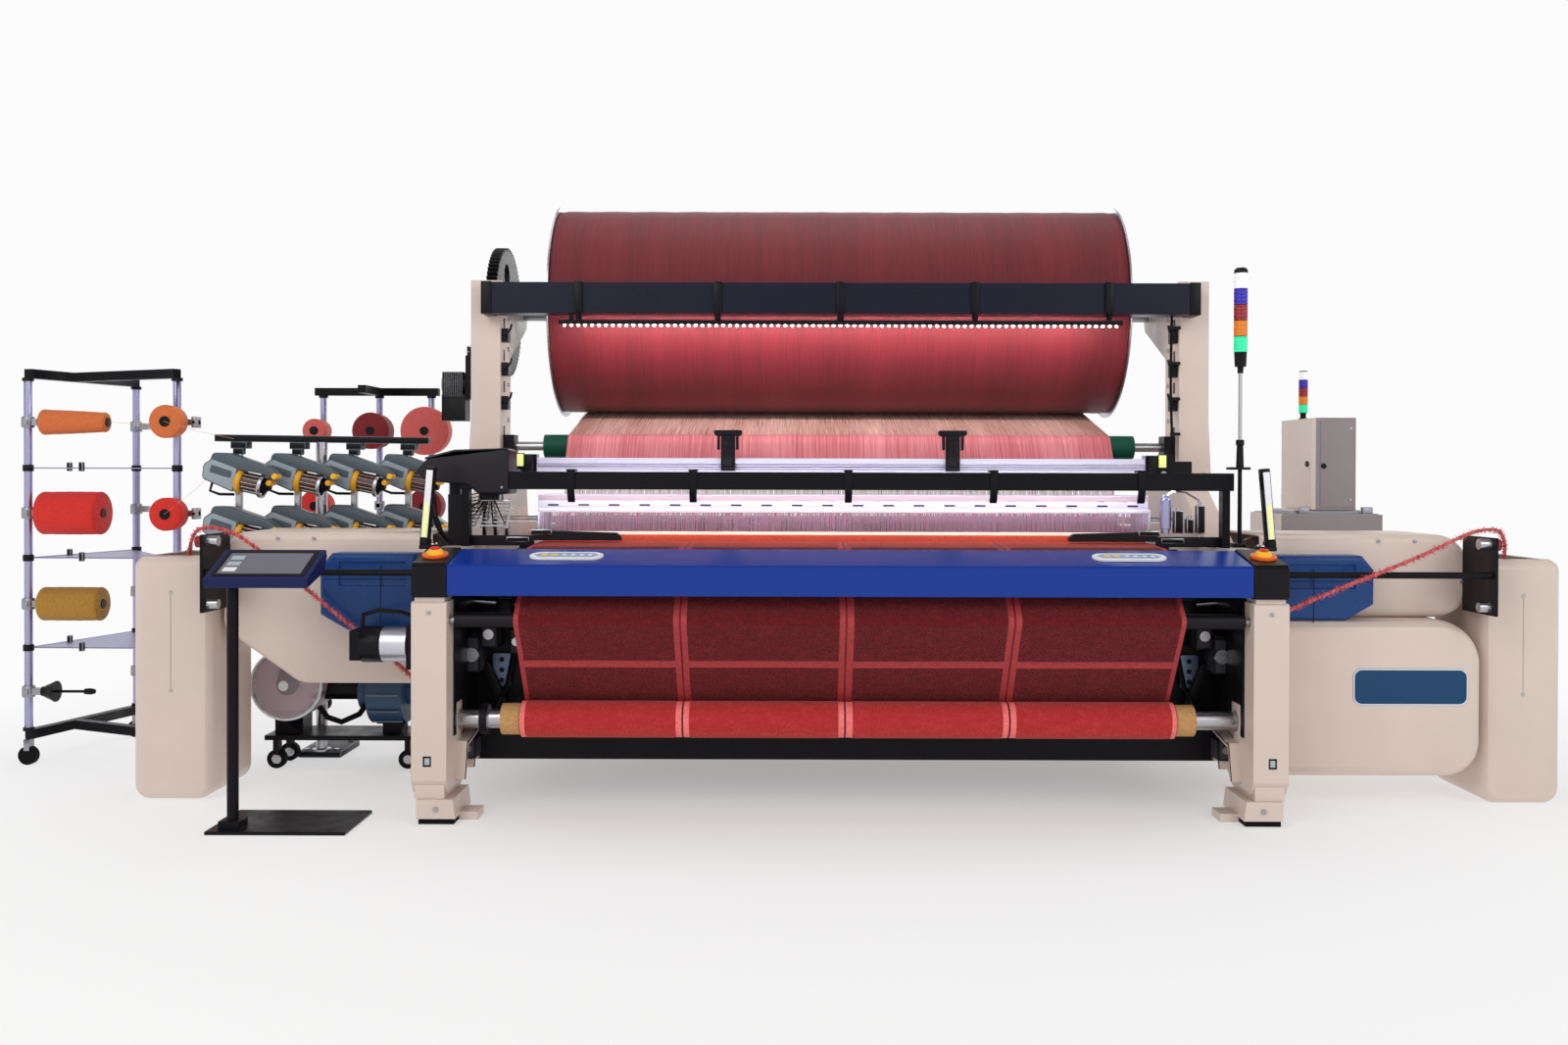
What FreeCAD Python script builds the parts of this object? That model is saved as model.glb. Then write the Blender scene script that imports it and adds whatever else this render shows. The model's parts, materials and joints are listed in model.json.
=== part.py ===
"""Terry weaving machine with two warp beams, weft feeders, creels and waste bins.

Millimetres. X runs along the reed to the right, Y from the weaver to the warp beams, Z up.
The origin lies on the floor, in the middle of the four anchor holes of the machine feet.
"""
import FreeCAD, Part
import math
import os
import Sketcher

doc = FreeCAD.newDocument("WeavingMachine")
sheet = doc.addObject("Spreadsheet::Sheet", "Sizes")
V = FreeCAD.Vector
nodes = {}


class Size:
    """A number together with the expression that ties it to the sheet."""

    def __init__(self, number, text):
        self.number = number
        self.text = text

    def __float__(self):
        return float(self.number)

    def __neg__(self):
        return Size(-self.number, f"(0 - {self.text})")

    def __add__(self, other):
        other = tie(other)
        return Size(self.number + other.number, f"({self.text} + {other.text})")

    def __sub__(self, other):
        other = tie(other)
        return Size(self.number - other.number, f"({self.text} - {other.text})")

    def __mul__(self, other):
        other = tie(other)
        return Size(self.number * other.number, f"({self.text} * {other.text})")

    def __truediv__(self, other):
        other = tie(other)
        return Size(self.number / other.number, f"({self.text} / {other.text})")

    def __radd__(self, other):
        return tie(other) + self

    def __rsub__(self, other):
        return tie(other) - self

    def __rmul__(self, other):
        return tie(other) * self


def tie(value):
    """Any number as a Size."""
    return value if isinstance(value, Size) else Size(value, f"({value})")


def size(word, number):
    """Write one driving size into the sheet and give it back, bound to its cell."""
    row = size.rows = size.rows + 1
    sheet.set(f"A{row}", word)
    sheet.set(f"B{row}", str(number))
    sheet.setAlias(f"B{row}", word)
    return Size(number, f"Sizes.{word}")


size.rows = 0

# Clearances
run_gap = size("run_gap", 0.3)              # round shafts and rollers
slide_gap = size("slide_gap", 0.4)          # heald frames in their guides
fit_gap = size("fit_gap", 3)                # covers round a shaft

# Floor, feet and side frames
anchor_rows = size("anchor_rows", 1400)     # front to rear anchor holes
anchor_hole = size("anchor_hole", 18)
anchor_step = size("anchor_step", 75)       # anchor holes inside the side frames' inner faces
front = -size("front_reach", 820)           # front plane of the machine
flange_half = size("flange_half", 1300)     # centre to the inner face of a beam flange
flange_room = size("flange_room", 155)      # from there to the inner face of a side frame
frame_inner = flange_half + flange_room
frame_thick = size("frame_thick", 107)
window_back = size("window_back", 420)      # rear edge of the side frames' windows
cover_wall = size("cover_wall", 10)
pad_thick = size("pad_thick", 20)
foot_top = size("foot_top", 90)
foot_deep = size("foot_deep", 240)
foot_wide = size("foot_wide", 140)
lug_wide = size("lug_wide", 64)
lug_thick = size("lug_thick", 30)
neck_low = size("neck_low", 800)            # top of the front leg covers
cap_low = size("cap_low", 815)              # underside of the breast beam caps
deck = size("deck", 975)                    # top of the side frames in front
saddle = size("saddle", 1200)               # top of the side frames below the columns

low_beam_front = size("low_beam_front", -470)
low_beam_deep = size("low_beam_deep", 120)
low_beam_low = size("low_beam_low", 163)

# Cloth path
weave_half = size("weave_half", 1210)
cloth_thick = size("cloth_thick", 5)
warp_thick = size("warp_thick", 3)
cloth_line = size("cloth_line", 988)
fell = size("fell_place", -262)
take_up_y = size("take_up_place", -525)
take_up_z = size("take_up_height", 912)
take_up_r = size("take_up_radius", 65)
guide_y = size("guide_place", -770)
guide_z = size("guide_height", 730)
guide_r = size("guide_radius", 28)
roll_y = size("roll_place", -620)
roll_z = size("roll_height", 345)
roll_r = size("roll_radius", 68.5)
core_r = size("core_radius", 58)
core_half = size("core_half", 1285)
roll_shaft_r = size("roll_shaft_radius", 35)
take_up_shaft_r = size("take_up_shaft_radius", 25)
guide_shaft_r = size("guide_shaft_radius", 12)

# Breast beam
beam_low = size("breast_low", 821)
beam_edge = size("breast_edge", 933)        # front edge of the sloping top
beam_top = size("breast_top", 977)
beam_deep = size("breast_deep", 220)
beam_skin = size("breast_skin", 4)

# Warp beams and back rests
pile_y = size("warp_beam_place", 880)
pile_z = size("pile_beam_height", 2030)
pile_flange_r = size("pile_flange_radius", 500)
pile_wound_r = size("pile_wound_radius", 480)
flange_thick = size("flange_thick", 8)
beam_tube_r = size("beam_tube_radius", 75)
beam_stub_r = size("beam_stub_radius", 40)
ground_z = size("ground_beam_height", 500)
ground_flange_r = size("ground_flange_radius", 400)
ground_wound_r = size("ground_wound_radius", 340)
rest_y = size("back_rest_place", 430)
rest_z = size("back_rest_height", 1379)
rest_r = size("back_rest_radius", 52)
rest_half = flange_half + size("back_rest_over", 20)
rest_stub_r = size("back_rest_stub_radius", 20)
low_rest_y = size("low_rest_place", 630)
low_rest_z = size("low_rest_height", 1000)
low_rest_r = size("low_rest_radius", 60)
dip_y = size("dip_bar_place", 200)
dip_z = size("dip_bar_height", 1060)
dip_r = size("dip_bar_radius", 15)
gear_teeth = size("gear_teeth", 75)
pinion_teeth = size("pinion_teeth", 15)
tooth_module = size("tooth_module", 8)
tooth_slack = size("tooth_slack", 1.2)
gear_thick = size("gear_thick", 50)
gear_windows = size("gear_windows", 5)
pinion_lean = size("pinion_lean", 30)       # degrees the pinion stands forward of straight down

# Columns and beams
column_inner = frame_inner + size("column_step", 45)
column_wide = size("column_wide", 130)
column_outer = column_inner + column_wide
arm_thick = size("arm_thick", 60)
gear_inner = column_inner + arm_thick + size("gear_room", 15)
column_front = size("column_front", 330)
column_deep = size("column_deep", 220)
column_top = size("column_top", 2110)
top_beam_low = size("top_beam_low", 1953)
top_beam_high = size("top_beam_high", 2088)
top_beam_deep = size("top_beam_deep", 110)
strap_thick = size("strap_thick", 4)
strap_wide = size("strap_wide", 26)
lamp_low = size("lamp_low", 1905)
light_y = size("light_beam_place", -370)
light_low = size("light_beam_low", 1197)
light_high = size("light_beam_high", 1266)
light_deep = size("light_beam_deep", 50)
tension_y = size("tension_beam_place", 160)
tension_low = size("tension_beam_low", 1250)
tension_high = size("tension_beam_high", 1325)
tension_deep = size("tension_beam_deep", 60)

# Healds, sley and reed
heald_half = size("heald_half", 1250)
heald_top = size("heald_top", 1172)
heald_tall = size("heald_tall", 482)
heald_first = size("heald_first", -100)
heald_pitch = size("heald_pitch", 55)
heald_thick = size("heald_thick", 20)
heald_rail = size("heald_rail", 60)
heald_slot = size("heald_slot", 27)
heald_slot_pitch = size("heald_slot_pitch", 92)
comb_low = size("comb_low", 930)
comb_high = size("comb_high", 1060)
sley_y = size("sley_pivot_place", -200)
sley_z = size("sley_pivot_height", 640)
sley_shaft_r = size("sley_shaft_radius", 30)
sley_top = size("sley_top", 975)
sley_half = flange_half
reed_y = size("reed_place", -222)
reed_thick = size("reed_thick", 8)
reed_half = size("reed_half", 1230)
reed_top = size("reed_top", 1120)
reed_gaps = size("reed_gaps", 100)

# Rapier drive
rapier_y = size("rapier_place", -283)
rapier_deep = size("rapier_deep", 30)
rapier_low = size("rapier_low", 1000.5)
rapier_tall = size("rapier_tall", 15)
rapier_long = size("rapier_long", 720)
wheel_r = size("wheel_radius", 130)
housing_inner = frame_inner + frame_thick + size("housing_room", 38)
housing_outer = housing_inner + size("housing_long", 820)
rapier_inner = housing_inner - 10
wheel_x = housing_inner + size("wheel_place", 410)
housing_front = size("housing_front", -420)
housing_deep = size("housing_deep", 400)
housing_top = size("housing_top", 1030)
housing_wall = size("housing_wall", 6)
drive_low = size("drive_low", 114)
drive_top = size("drive_top", 709)
drive_front = size("drive_front", -540)
drive_deep = size("drive_deep", 670)
drive_outer = housing_outer - 10

# Waste bins
bin_inner = housing_outer + size("bin_room", 15)
bin_wide = size("bin_wide", 300)
bin_front = size("bin_front", -490)
bin_deep = size("bin_deep", 430)
bin_top = size("bin_top", 940)
bin_wall = size("bin_wall", 5)

# Stands round the machine
tube_wide = size("tube_wide", 40)
post_r = size("post_radius", 16.5)
creel_top = size("creel_top", 1700)
caster_r = size("caster_radius", 40)

frame_outer = frame_inner + frame_thick
anchor_half = frame_inner - anchor_step
aisle = -column_outer                       # where the free-standing groups on the left begin
frame_front = front + cover_wall
foot_back = front + foot_deep
rear_foot_back = -front


def bind(thing, prop, value):
    """Tie one property to a size."""
    if isinstance(value, Size):
        thing.setExpression(prop, value.text)
    elif value:
        thing.setExpression(prop, f"{value}")


TURNS = {
    "x": FreeCAD.Rotation(V(0, 1, 0), 90),
    "y": FreeCAD.Rotation(V(1, 0, 0), -90),
    "z": FreeCAD.Rotation(),
}


def box(name, x, y, z):
    """A block; each side is given as (low, high)."""
    block = doc.addObject("Part::Box", name)
    for letter, prop, side in zip("xyz", ("Length", "Width", "Height"), (x, y, z)):
        bind(block, "Placement.Base." + letter, side[0])
        bind(block, prop, tie(side[1]) - side[0])
    return block


def rod(name, axis, span, centre, radius, far_radius=None):
    """A round bar, or a cone, along an axis: its span there and its other two coordinates."""
    tapered = far_radius is not None
    bar = doc.addObject("Part::Cone" if tapered else "Part::Cylinder", name)
    bar.Placement = FreeCAD.Placement(V(), TURNS[axis])
    bind(bar, "Placement.Base." + axis, span[0])
    for letter, place in zip("xyz".replace(axis, ""), centre):
        bind(bar, "Placement.Base." + letter, place)
    bind(bar, "Height", tie(span[1]) - span[0])
    if tapered:
        bar.Radius1 = float(radius)
        bind(bar, "Radius1", radius)
        bind(bar, "Radius2", far_radius)
    else:
        bind(bar, "Radius", radius)
    return bar


def outline(body, name, plane, start, corners):
    """A closed sketch on one of the body's origin planes, every corner tied to its sizes."""
    sketch = body.newObject("Sketcher::SketchObject", name + "_outline")
    base = [part for part in body.Origin.OriginFeatures if part.Role == plane][0]
    sketch.AttachmentSupport = (base, [""])
    sketch.MapMode = "FlatFace"
    bind(sketch, "AttachmentOffset.Base.z", start)
    places = [V(float(across), float(up), 0) for across, up in corners]
    last = len(places)
    sketch.addGeometry([Part.LineSegment(places[k], places[(k + 1) % last]) for k in range(last)], False)
    sketch.addConstraint([Sketcher.Constraint("Coincident", k, 2, (k + 1) % last, 1) for k in range(last)])
    for k, (across, up) in enumerate(corners):
        for kind, value in (("DistanceX", across), ("DistanceY", up)):
            index = sketch.addConstraint(Sketcher.Constraint(kind, -1, 1, k, 1, float(value)))
            if isinstance(value, Size):
                sketch.setExpression(f"Constraints[{index}]", value.text)
    return sketch


def plate(name, plane, corners, span):
    """A body padded from an outline in the yz, xz or xy plane, over a span of the third axis."""
    body = doc.addObject("PartDesign::Body", name)
    start = -tie(span[1]) if plane == "xz" else span[0]
    sketch = outline(body, name, plane.upper() + "_Plane", start, corners)
    pad = body.newObject("PartDesign::Pad", name + "_pad")
    pad.Profile = sketch
    bind(pad, "Length", tie(span[1]) - span[0])
    return body


def turned(name, axis, centre, corners):
    """A turned body: (along, radius) corners revolved about an axis through the centre."""
    body = doc.addObject("PartDesign::Body", name)
    sketch = outline(body, name, "XZ_Plane", 0, corners)
    turn = body.newObject("PartDesign::Revolution", name + "_turn")
    turn.Profile = sketch
    turn.ReferenceAxis = (sketch, ["H_Axis"])
    turns = {"x": FreeCAD.Rotation(), "y": FreeCAD.Rotation(V(0, 0, 1), 90),
             "z": FreeCAD.Rotation(V(0, 1, 0), -90)}
    body.Placement = FreeCAD.Placement(V(), turns[axis])
    for letter, place in zip("xyz", centre):
        bind(body, "Placement.Base." + letter, place)
    return body


def stepped(name, centre, steps):
    """A shaft along X from (end, radius) steps, from left to right, the first end first."""
    corners = [(steps[0][0], 0)]
    for (left, radius), (right, _) in zip(steps, steps[1:]):
        corners += [(left, radius), (right, radius)]
    corners.append((steps[-1][0], 0))
    return turned(name, "x", (0,) + centre, corners)


def along(letter):
    """A test for edges that run along one axis."""
    place = "xyz".index(letter)

    def test(edge):
        first, last = edge.Vertexes[0].Point, edge.Vertexes[-1].Point
        run = last - first
        return run.Length > 0.01 and abs(run[place]) > 0.999 * run.Length

    return test


def rounded(body, radius, test):
    """Round those edges of a body that pass the test."""
    doc.recompute()
    tip = body.Tip
    edges = [f"Edge{k + 1}" for k, edge in enumerate(tip.Shape.Edges) if test(edge)]
    fillet = body.newObject("PartDesign::Fillet", body.Name + "_round")
    fillet.Base = (tip, edges)
    bind(fillet, "Radius", radius)
    return body


def fused(name, parts):
    """Several shapes made one piece."""
    whole = doc.addObject("Part::MultiFuse", name)
    whole.Shapes = parts
    whole.Refine = True
    return whole


def group(name, parts):
    """Separate solids that share one node."""
    whole = doc.addObject("Part::Compound", name)
    whole.Links = parts
    return whole


def cut(name, base, tools):
    """A shape less its tools."""
    rest = doc.addObject("Part::Cut", name)
    rest.Base = base
    rest.Tool = tools[0] if len(tools) == 1 else fused(name + "_tools", tools)
    return rest


def mirrored(part):
    """The same piece on the other side of the machine."""
    other = doc.addObject("Part::Mirroring", part.Name + "_mirror")
    other.Source = part
    other.Normal = V(1, 0, 0)
    return other


def shaped(name, shape):
    """A piece whose shape the code makes from the sizes."""
    piece = doc.addObject("Part::Feature", name)
    piece.Shape = shape
    return piece


def node(name, piece):
    """Name a piece for its file."""
    piece.Label = name
    nodes[name] = piece
    return piece


def both(name, piece):
    """A left and a right piece in one node."""
    return node(name, group(name, [piece, mirrored(piece)]))


def pair(left_name, right_name, piece):
    """A right piece and its left mirror, each in a node of its own."""
    node(left_name, mirrored(piece))
    node(right_name, piece)


# ---------------------------------------------------------------- frame and feet
SHAFTS = ((take_up_y, take_up_z, take_up_shaft_r), (guide_y, guide_z, guide_shaft_r),
          (roll_y, roll_z, roll_shaft_r), (sley_y, sley_z, sley_shaft_r),
          (low_rest_y, low_rest_z, rest_stub_r), (pile_y, ground_z, beam_stub_r))


def side_frame():
    """One cast side frame with its leg arch, window, shaft bores and heald guide comb."""
    arm = pile_y + 70
    low_back = low_beam_front + low_beam_deep + 20
    body = plate("frame_casting", "yz", [
        (frame_front, foot_top), (foot_back + 20, foot_top), (low_beam_front - 10, low_beam_low - 13),
        (low_back, low_beam_low - 13), (low_back, low_beam_low + low_beam_deep + 17), (-250, 430), (300, 430),
        (540, 330), (580, foot_top), (rear_foot_back, foot_top), (rear_foot_back, ground_z - 120),
        (arm, ground_z - 70), (arm, ground_z + 70), (rear_foot_back, ground_z + 140),
        (column_front + 370, saddle), (column_front - 210, saddle), (-250, deck),
        (foot_back - 20, deck), (foot_back - 20, cap_low), (frame_front, cap_low),
    ], (frame_inner, frame_outer))
    window = plate("frame_window", "yz", [(-90, 560), (window_back, 560), (window_back, 900), (40, 900), (-90, 800)],
                   (frame_inner - 1, frame_outer + 1))
    bores = [rod("frame_bore", "x", (frame_inner - 1, frame_outer + 1), (place, up), radius + run_gap)
             for place, up, radius in SHAFTS]
    casting = cut("frame_cast", body, [window] + bores)
    comb = box("comb_block", (heald_half - 12, frame_inner), (heald_first - 20, heald_first + 3 * heald_pitch + 20),
               (comb_low, comb_high))
    slots = [box("comb_slot", (heald_half - 13, heald_half + slide_gap),
                 (heald_first + k * heald_pitch - heald_thick / 2 - slide_gap,
                  heald_first + k * heald_pitch + heald_thick / 2 + slide_gap),
                 (comb_low - 1, comb_high + 1)) for k in range(4)]
    return group("frame_pieces", [casting, cut("heald_comb", comb, slots)])


def leg_cover():
    """The rounded beige shell round a front leg."""
    outer = plate("leg_shell", "yz", [
        (front, 157), (front, neck_low), (foot_back - 20, neck_low), (foot_back - 20, foot_top + 20),
        (front + 30, foot_top + 20),
    ], (frame_inner - cover_wall, frame_outer + cover_wall))
    rounded(outer, 14, lambda edge: along("x")(edge) and edge.CenterOfMass.z > float(neck_low) - 1
            and edge.CenterOfMass.y < float(front) + 5)
    hollow = box("leg_hollow", (frame_inner, frame_outer), (frame_front, foot_back), (foot_top, neck_low + 1))
    window = box("leg_window", (1500, 1530), (front - 1, frame_front + 1), (207, 245))
    bores = [rod("leg_bore", "x", (frame_inner - cover_wall - 1, frame_outer + cover_wall + 1), (place, up),
                 radius + fit_gap) for place, up, radius in SHAFTS[1:3]]
    return cut("leg_cover", outer, [hollow, window] + bores)


def feet():
    """Two cast feet of one side with their rubber pads and anchor lugs."""
    pieces = []
    middle = frame_inner + frame_thick / 2 - 25
    span = (middle - foot_wide / 2, middle + foot_wide / 2)
    for row, low, high in ((-anchor_rows / 2, front, foot_back),
                           (anchor_rows / 2, rear_foot_back - foot_deep, rear_foot_back)):
        block = plate("foot_block", "xz", [
            (span[0], pad_thick), (span[1], pad_thick), (span[1], foot_top), (span[0] + 8, foot_top)], (low, high))
        lug = box("foot_lug", (span[0] - lug_wide, span[0] + 4), (row - 50, row + 50), (0, lug_thick))
        hole = rod("anchor_hole", "z", (-1, foot_top), (anchor_half, row), anchor_hole / 2)
        pieces.append(cut("foot", fused("foot_cast", [block, lug]), [hole]))
        pieces.append(box("foot_pad", (span[0] + 6, span[1] - 6), (low + 6, high - 6), (0, pad_thick)))
    return pieces


pair("side_frame_left", "side_frame_right", side_frame())
both("front_leg_covers", leg_cover())
right_feet = feet()
node("machine_feet", group("machine_feet", right_feet + [mirrored(piece) for piece in right_feet]))

low_beam = box("low_beam", (-frame_inner, frame_inner), (low_beam_front, low_beam_front + low_beam_deep),
               (low_beam_low, low_beam_low + low_beam_deep))
middle_beam = box("middle_beam", (-frame_inner, frame_inner), (0, 110), (440, 550))
rear_beam = box("rear_beam", (-frame_inner, frame_inner), (window_back + 10, window_back + 120), (725, 845))
dip_bar = rod("dip_bar", "x", (-frame_inner, frame_inner), (dip_y, dip_z), dip_r)
node("cross_members", group("cross_members", [low_beam, middle_beam, rear_beam, dip_bar]))

# ---------------------------------------------------------------- breast beam
beam_back = front + beam_deep
cover = plate("breast_cover", "yz", [
    (front, beam_low), (front + 50, beam_low), (front + 50, beam_low + beam_skin),
    (front + beam_skin, beam_low + beam_skin), (front + beam_skin, beam_edge - 2),
    (beam_back, beam_top - beam_skin), (beam_back, beam_top), (front + 6, beam_edge + 1), (front, beam_edge - 7),
], (-frame_inner + cover_wall, frame_inner - cover_wall))
node("breast_beam_cover", cover)

cap = plate("beam_cap", "yz", [
    (front - 6, beam_low - 6), (beam_back, cap_low), (beam_back, beam_top + 6), (front + 4, beam_edge + 6),
    (front - 6, beam_edge - 6)], (frame_inner - cover_wall, frame_outer + cover_wall))
rounded(cap, 8, lambda edge: edge.CenterOfMass.x > float(frame_outer + cover_wall) - 0.1)
both("breast_beam_caps", cap)

TOP_SLOPE = math.degrees(math.atan2(float(beam_top - beam_edge), float(beam_deep)))


def on_slope(name, piece, across, back):
    """Lay a piece, made round the origin, on the sloping top of the breast beam."""
    lift = back * (beam_top - beam_edge - 1) / (beam_deep - 6)
    laid = doc.addObject("Part::Compound", name)
    laid.Links = [piece]
    laid.Placement = FreeCAD.Placement(V(), FreeCAD.Rotation(V(1, 0, 0), TOP_SLOPE))
    bind(laid, "Placement.Base.x", across)
    bind(laid, "Placement.Base.y", front + 6 + back)
    bind(laid, "Placement.Base.z", beam_edge + 1.2 + lift)
    return laid


def keypad():
    """A flat oval key panel."""
    middle = box("pad_middle", (-90, 90), (-45, 45), (0, 8))
    ends = [rod("pad_end", "z", (0, 8), (side * 90, 0), 45) for side in (-1, 1)]
    return fused("keypad", [middle] + ends)


estop_x = frame_inner + size("stop_button_place", 55)
estop_back = size("stop_button_back", 90)
estop_press = size("stop_button_travel", 5)
keypads = [on_slope("keypad_laid", keypad(), place, 100) for place in (-1032, 1023)]
collar = turned("stop_collar", "z", (0, 0, 0), [(0, 13), (0, 47), (10, 47), (10, 22), (14, 22), (14, 13)])
collars = [on_slope("collar_laid", collar, place, estop_back) for place in (-estop_x, estop_x)]
for piece in collars:
    bind(piece, "Placement.Base.z", beam_edge + 7 + estop_back * (beam_top - beam_edge) / beam_deep)
node("operator_panels", group("operator_panels", keypads + collars))
knob = turned("stop_knob", "z", (0, 0, 0), [(6, 0), (6, 12), (20, 12), (20, 16), (33, 16), (33, 0)])
for name, place in (("estop_button_left", -estop_x), ("estop_button_right", estop_x)):
    laid = on_slope("knob_laid", knob, place, estop_back)
    bind(laid, "Placement.Base.z", beam_edge + 7 + estop_back * (beam_top - beam_edge) / beam_deep)
    node(name, laid)

# ---------------------------------------------------------------- columns and beams
column_back = column_front + column_deep


def column():
    """One column: flared foot, arm with the beam bearing and boss for the back rest."""
    body = plate("column_post", "xz", [
        (column_inner, saddle), (column_outer + 15, saddle), (column_outer, saddle + 300),
        (column_outer, column_top), (column_inner, column_top)], (column_front, column_back))
    arm = plate("column_arm", "yz", [
        (column_back - 10, 1780), (pile_y + 40, pile_z - 80), (pile_y + 70, pile_z), (pile_y + 40, pile_z + 70),
        (column_back - 10, column_top)], (column_inner, column_inner + arm_thick))
    boss = box("rest_boss", (frame_inner - 5, column_inner), (rest_y - 45, rest_y + 45), (rest_z - 50, rest_z + 50))
    clips = [box("column_clip", (column_inner - 30, column_inner), (column_front + 20, column_front + 70), (up, up + 60))
             for up in (1540, 1690, 1840)]
    bores = [rod("beam_bore", "x", (column_inner - 1, column_inner + arm_thick + 1), (pile_y, pile_z), beam_stub_r + run_gap),
             rod("rest_bore", "x", (frame_inner - 6, column_outer - 30), (rest_y, rest_z), rest_stub_r + run_gap)]
    return cut("column", fused("column_whole", [body, arm, boss] + clips), bores)


both("beam_columns", column())

beam_y = (column_front - top_beam_deep, column_front)
girder = box("girder", (-column_inner - 60, column_inner + 60), beam_y, (top_beam_low, top_beam_high))
straps = []
for place in (-1150, -545, -15, 570, 1150):
    outside = box("strap_out", (place, place + strap_wide), (beam_y[0] - strap_thick, beam_y[0]),
                  (lamp_low + 20, top_beam_high + strap_thick))
    over = box("strap_over", (place, place + strap_wide), (beam_y[0], column_front),
               (top_beam_high, top_beam_high + strap_thick))
    straps.append(fused("strap", [outside, over]))
lamp = box("lamp_bar", (-1225, 1225), (beam_y[0] - strap_thick, beam_y[0] + 30), (lamp_low, lamp_low + 20))
lamp_hangers = [box("lamp_hanger", (place, place + 20), (beam_y[0] + 6, beam_y[0] + 24), (lamp_low + 20, top_beam_low))
                for place in (-1180, -5, 1160)]
node("top_cross_beam", group("top_cross_beam", [girder, lamp] + straps + lamp_hangers))

light_span = (light_y - light_deep / 2, light_y + light_deep / 2)
light_bar = box("light_bar", (-column_inner, column_inner + 10), light_span, (light_low, light_high))
light_post_x = column_inner - 20
light_posts = [box("light_post", (side * light_post_x - 15, side * light_post_x + 15), light_span, (deck, light_low))
               for side in (-1, 1)]
light_straps = [box("light_strap", (place, place + 22), (light_span[0] - 4, light_span[0]), (light_low - 8, light_high + 8))
                for place in (-1080, -605, 0, 565, 1140)]
node("light_beam", group("light_beam", [light_bar] + light_posts + light_straps))

tension_span = (tension_y - tension_deep / 2, tension_y + tension_deep / 2)
tension_bar = plate("tension_bar", "yz", [
    (tension_span[0], tension_low), (tension_span[1], tension_low), (tension_span[1], tension_high),
    (tension_span[0], tension_high), (tension_span[0], tension_high - 25), (tension_span[0] + 8, tension_high - 30),
    (tension_span[0] + 8, tension_low + 30), (tension_span[0], tension_low + 25)], (-flange_half, flange_half))
tension_foot = column_inner - 80
tension_end = fused("tension_end", [
    box("end_block", (flange_half, tension_foot), tension_span, (tension_low - 10, tension_high + 15)),
    box("end_foot", (tension_foot, column_inner), tension_span, (saddle, tension_high - 10))])
tension_ends = [tension_end, mirrored(tension_end)]
mushrooms = []
for place in (-482, 476):
    stem = box("mushroom_stem", (place - 30, place + 30), (tension_span[0] - 25, tension_span[0]), (1270, 1420))
    head = box("mushroom_head", (place - 55, place + 55), (tension_span[0] - 25, tension_span[0] + 30), (1420, 1440))
    mushrooms.append(fused("mushroom", [stem, head]))
node("tension_beam", group("tension_beam", [tension_bar] + tension_ends + mushrooms))

# ---------------------------------------------------------------- warp beams and rollers
def warp_beam(name, up, flange_r, outer_end):
    """A beam tube with its two flanges and bearing stubs."""
    inside = flange_half
    outside = flange_half + flange_thick
    return stepped(name, (pile_y, up), [
        (-outer_end, beam_stub_r), (-outside, flange_r), (-inside, beam_tube_r), (inside, flange_r),
        (outside, beam_stub_r), (frame_outer - 6, 0)])


def winding(name, up, wound_r):
    """The warp wound on a beam, as one solid with the beam's bore."""
    return turned(name, "x", (0, pile_y, up), [
        (-flange_half, beam_tube_r), (-flange_half, wound_r), (flange_half, wound_r), (flange_half, beam_tube_r)])


node("pile_beam", warp_beam("pile_beam", pile_z, pile_flange_r, gear_inner + gear_thick + 4))
node("pile_warp_winding", winding("pile_warp_winding", pile_z, pile_wound_r))
node("ground_beam", warp_beam("ground_beam", ground_z, ground_flange_r, frame_outer - 6))
node("ground_warp_winding", winding("ground_warp_winding", ground_z, ground_wound_r))


def involute(angle):
    """The involute of a pressure angle."""
    return math.tan(angle) - angle


def toothed(name, teeth, centre, toward, gap_first, bore):
    """A spur wheel along X with involute flanks; a tooth, or a gap, points toward an angle."""
    module = float(tooth_module)
    pitch_r = module * teeth / 2
    base_r = pitch_r * math.cos(math.radians(20))
    tip_r = pitch_r + 0.9 * module
    root_r = pitch_r - 1.2 * module
    levels = [max(base_r, root_r), pitch_r, tip_r]
    half_pitch = math.pi / (2 * teeth) - float(tooth_slack) / (4 * pitch_r)
    points = []
    for tooth in range(teeth):
        middle = toward + (tooth + (0.5 if gap_first else 0)) * 2 * math.pi / teeth
        flank = []
        for level in levels:
            lean = involute(math.radians(20)) - involute(math.acos(base_r / level))
            flank.append((level, half_pitch + lean))
        if base_r > root_r:
            flank.insert(0, (root_r, flank[0][1]))
        for radius, half in flank:
            points.append((radius, middle - half))
        for radius, half in reversed(flank):
            points.append((radius, middle + half))
    corners = [V(float(gear_inner), centre[0] + radius * math.cos(angle), centre[1] + radius * math.sin(angle))
               for radius, angle in points]
    blank = Part.Face(Part.makePolygon(corners + corners[:1])).extrude(V(float(gear_thick), 0, 0))
    hole = Part.makeCylinder(bore, float(gear_thick) + 2, V(float(gear_inner) - 1, *centre), V(1, 0, 0))
    blank = blank.cut(hole)
    if blank.BoundBox.ZLength > 400:
        for spoke in range(int(gear_windows.number)):
            angle = 2 * math.pi * (spoke + 0.5) / gear_windows.number
            reach = pitch_r * 0.58
            place = V(float(gear_inner) - 1, centre[0] + reach * math.cos(angle), centre[1] + reach * math.sin(angle))
            blank = blank.cut(Part.makeCylinder(pitch_r * 0.2, float(gear_thick) + 2, place, V(1, 0, 0)))
    blank.translate(V(-2 * float(gear_inner) - float(gear_thick), 0, 0))
    return shaped(name, blank)


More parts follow.
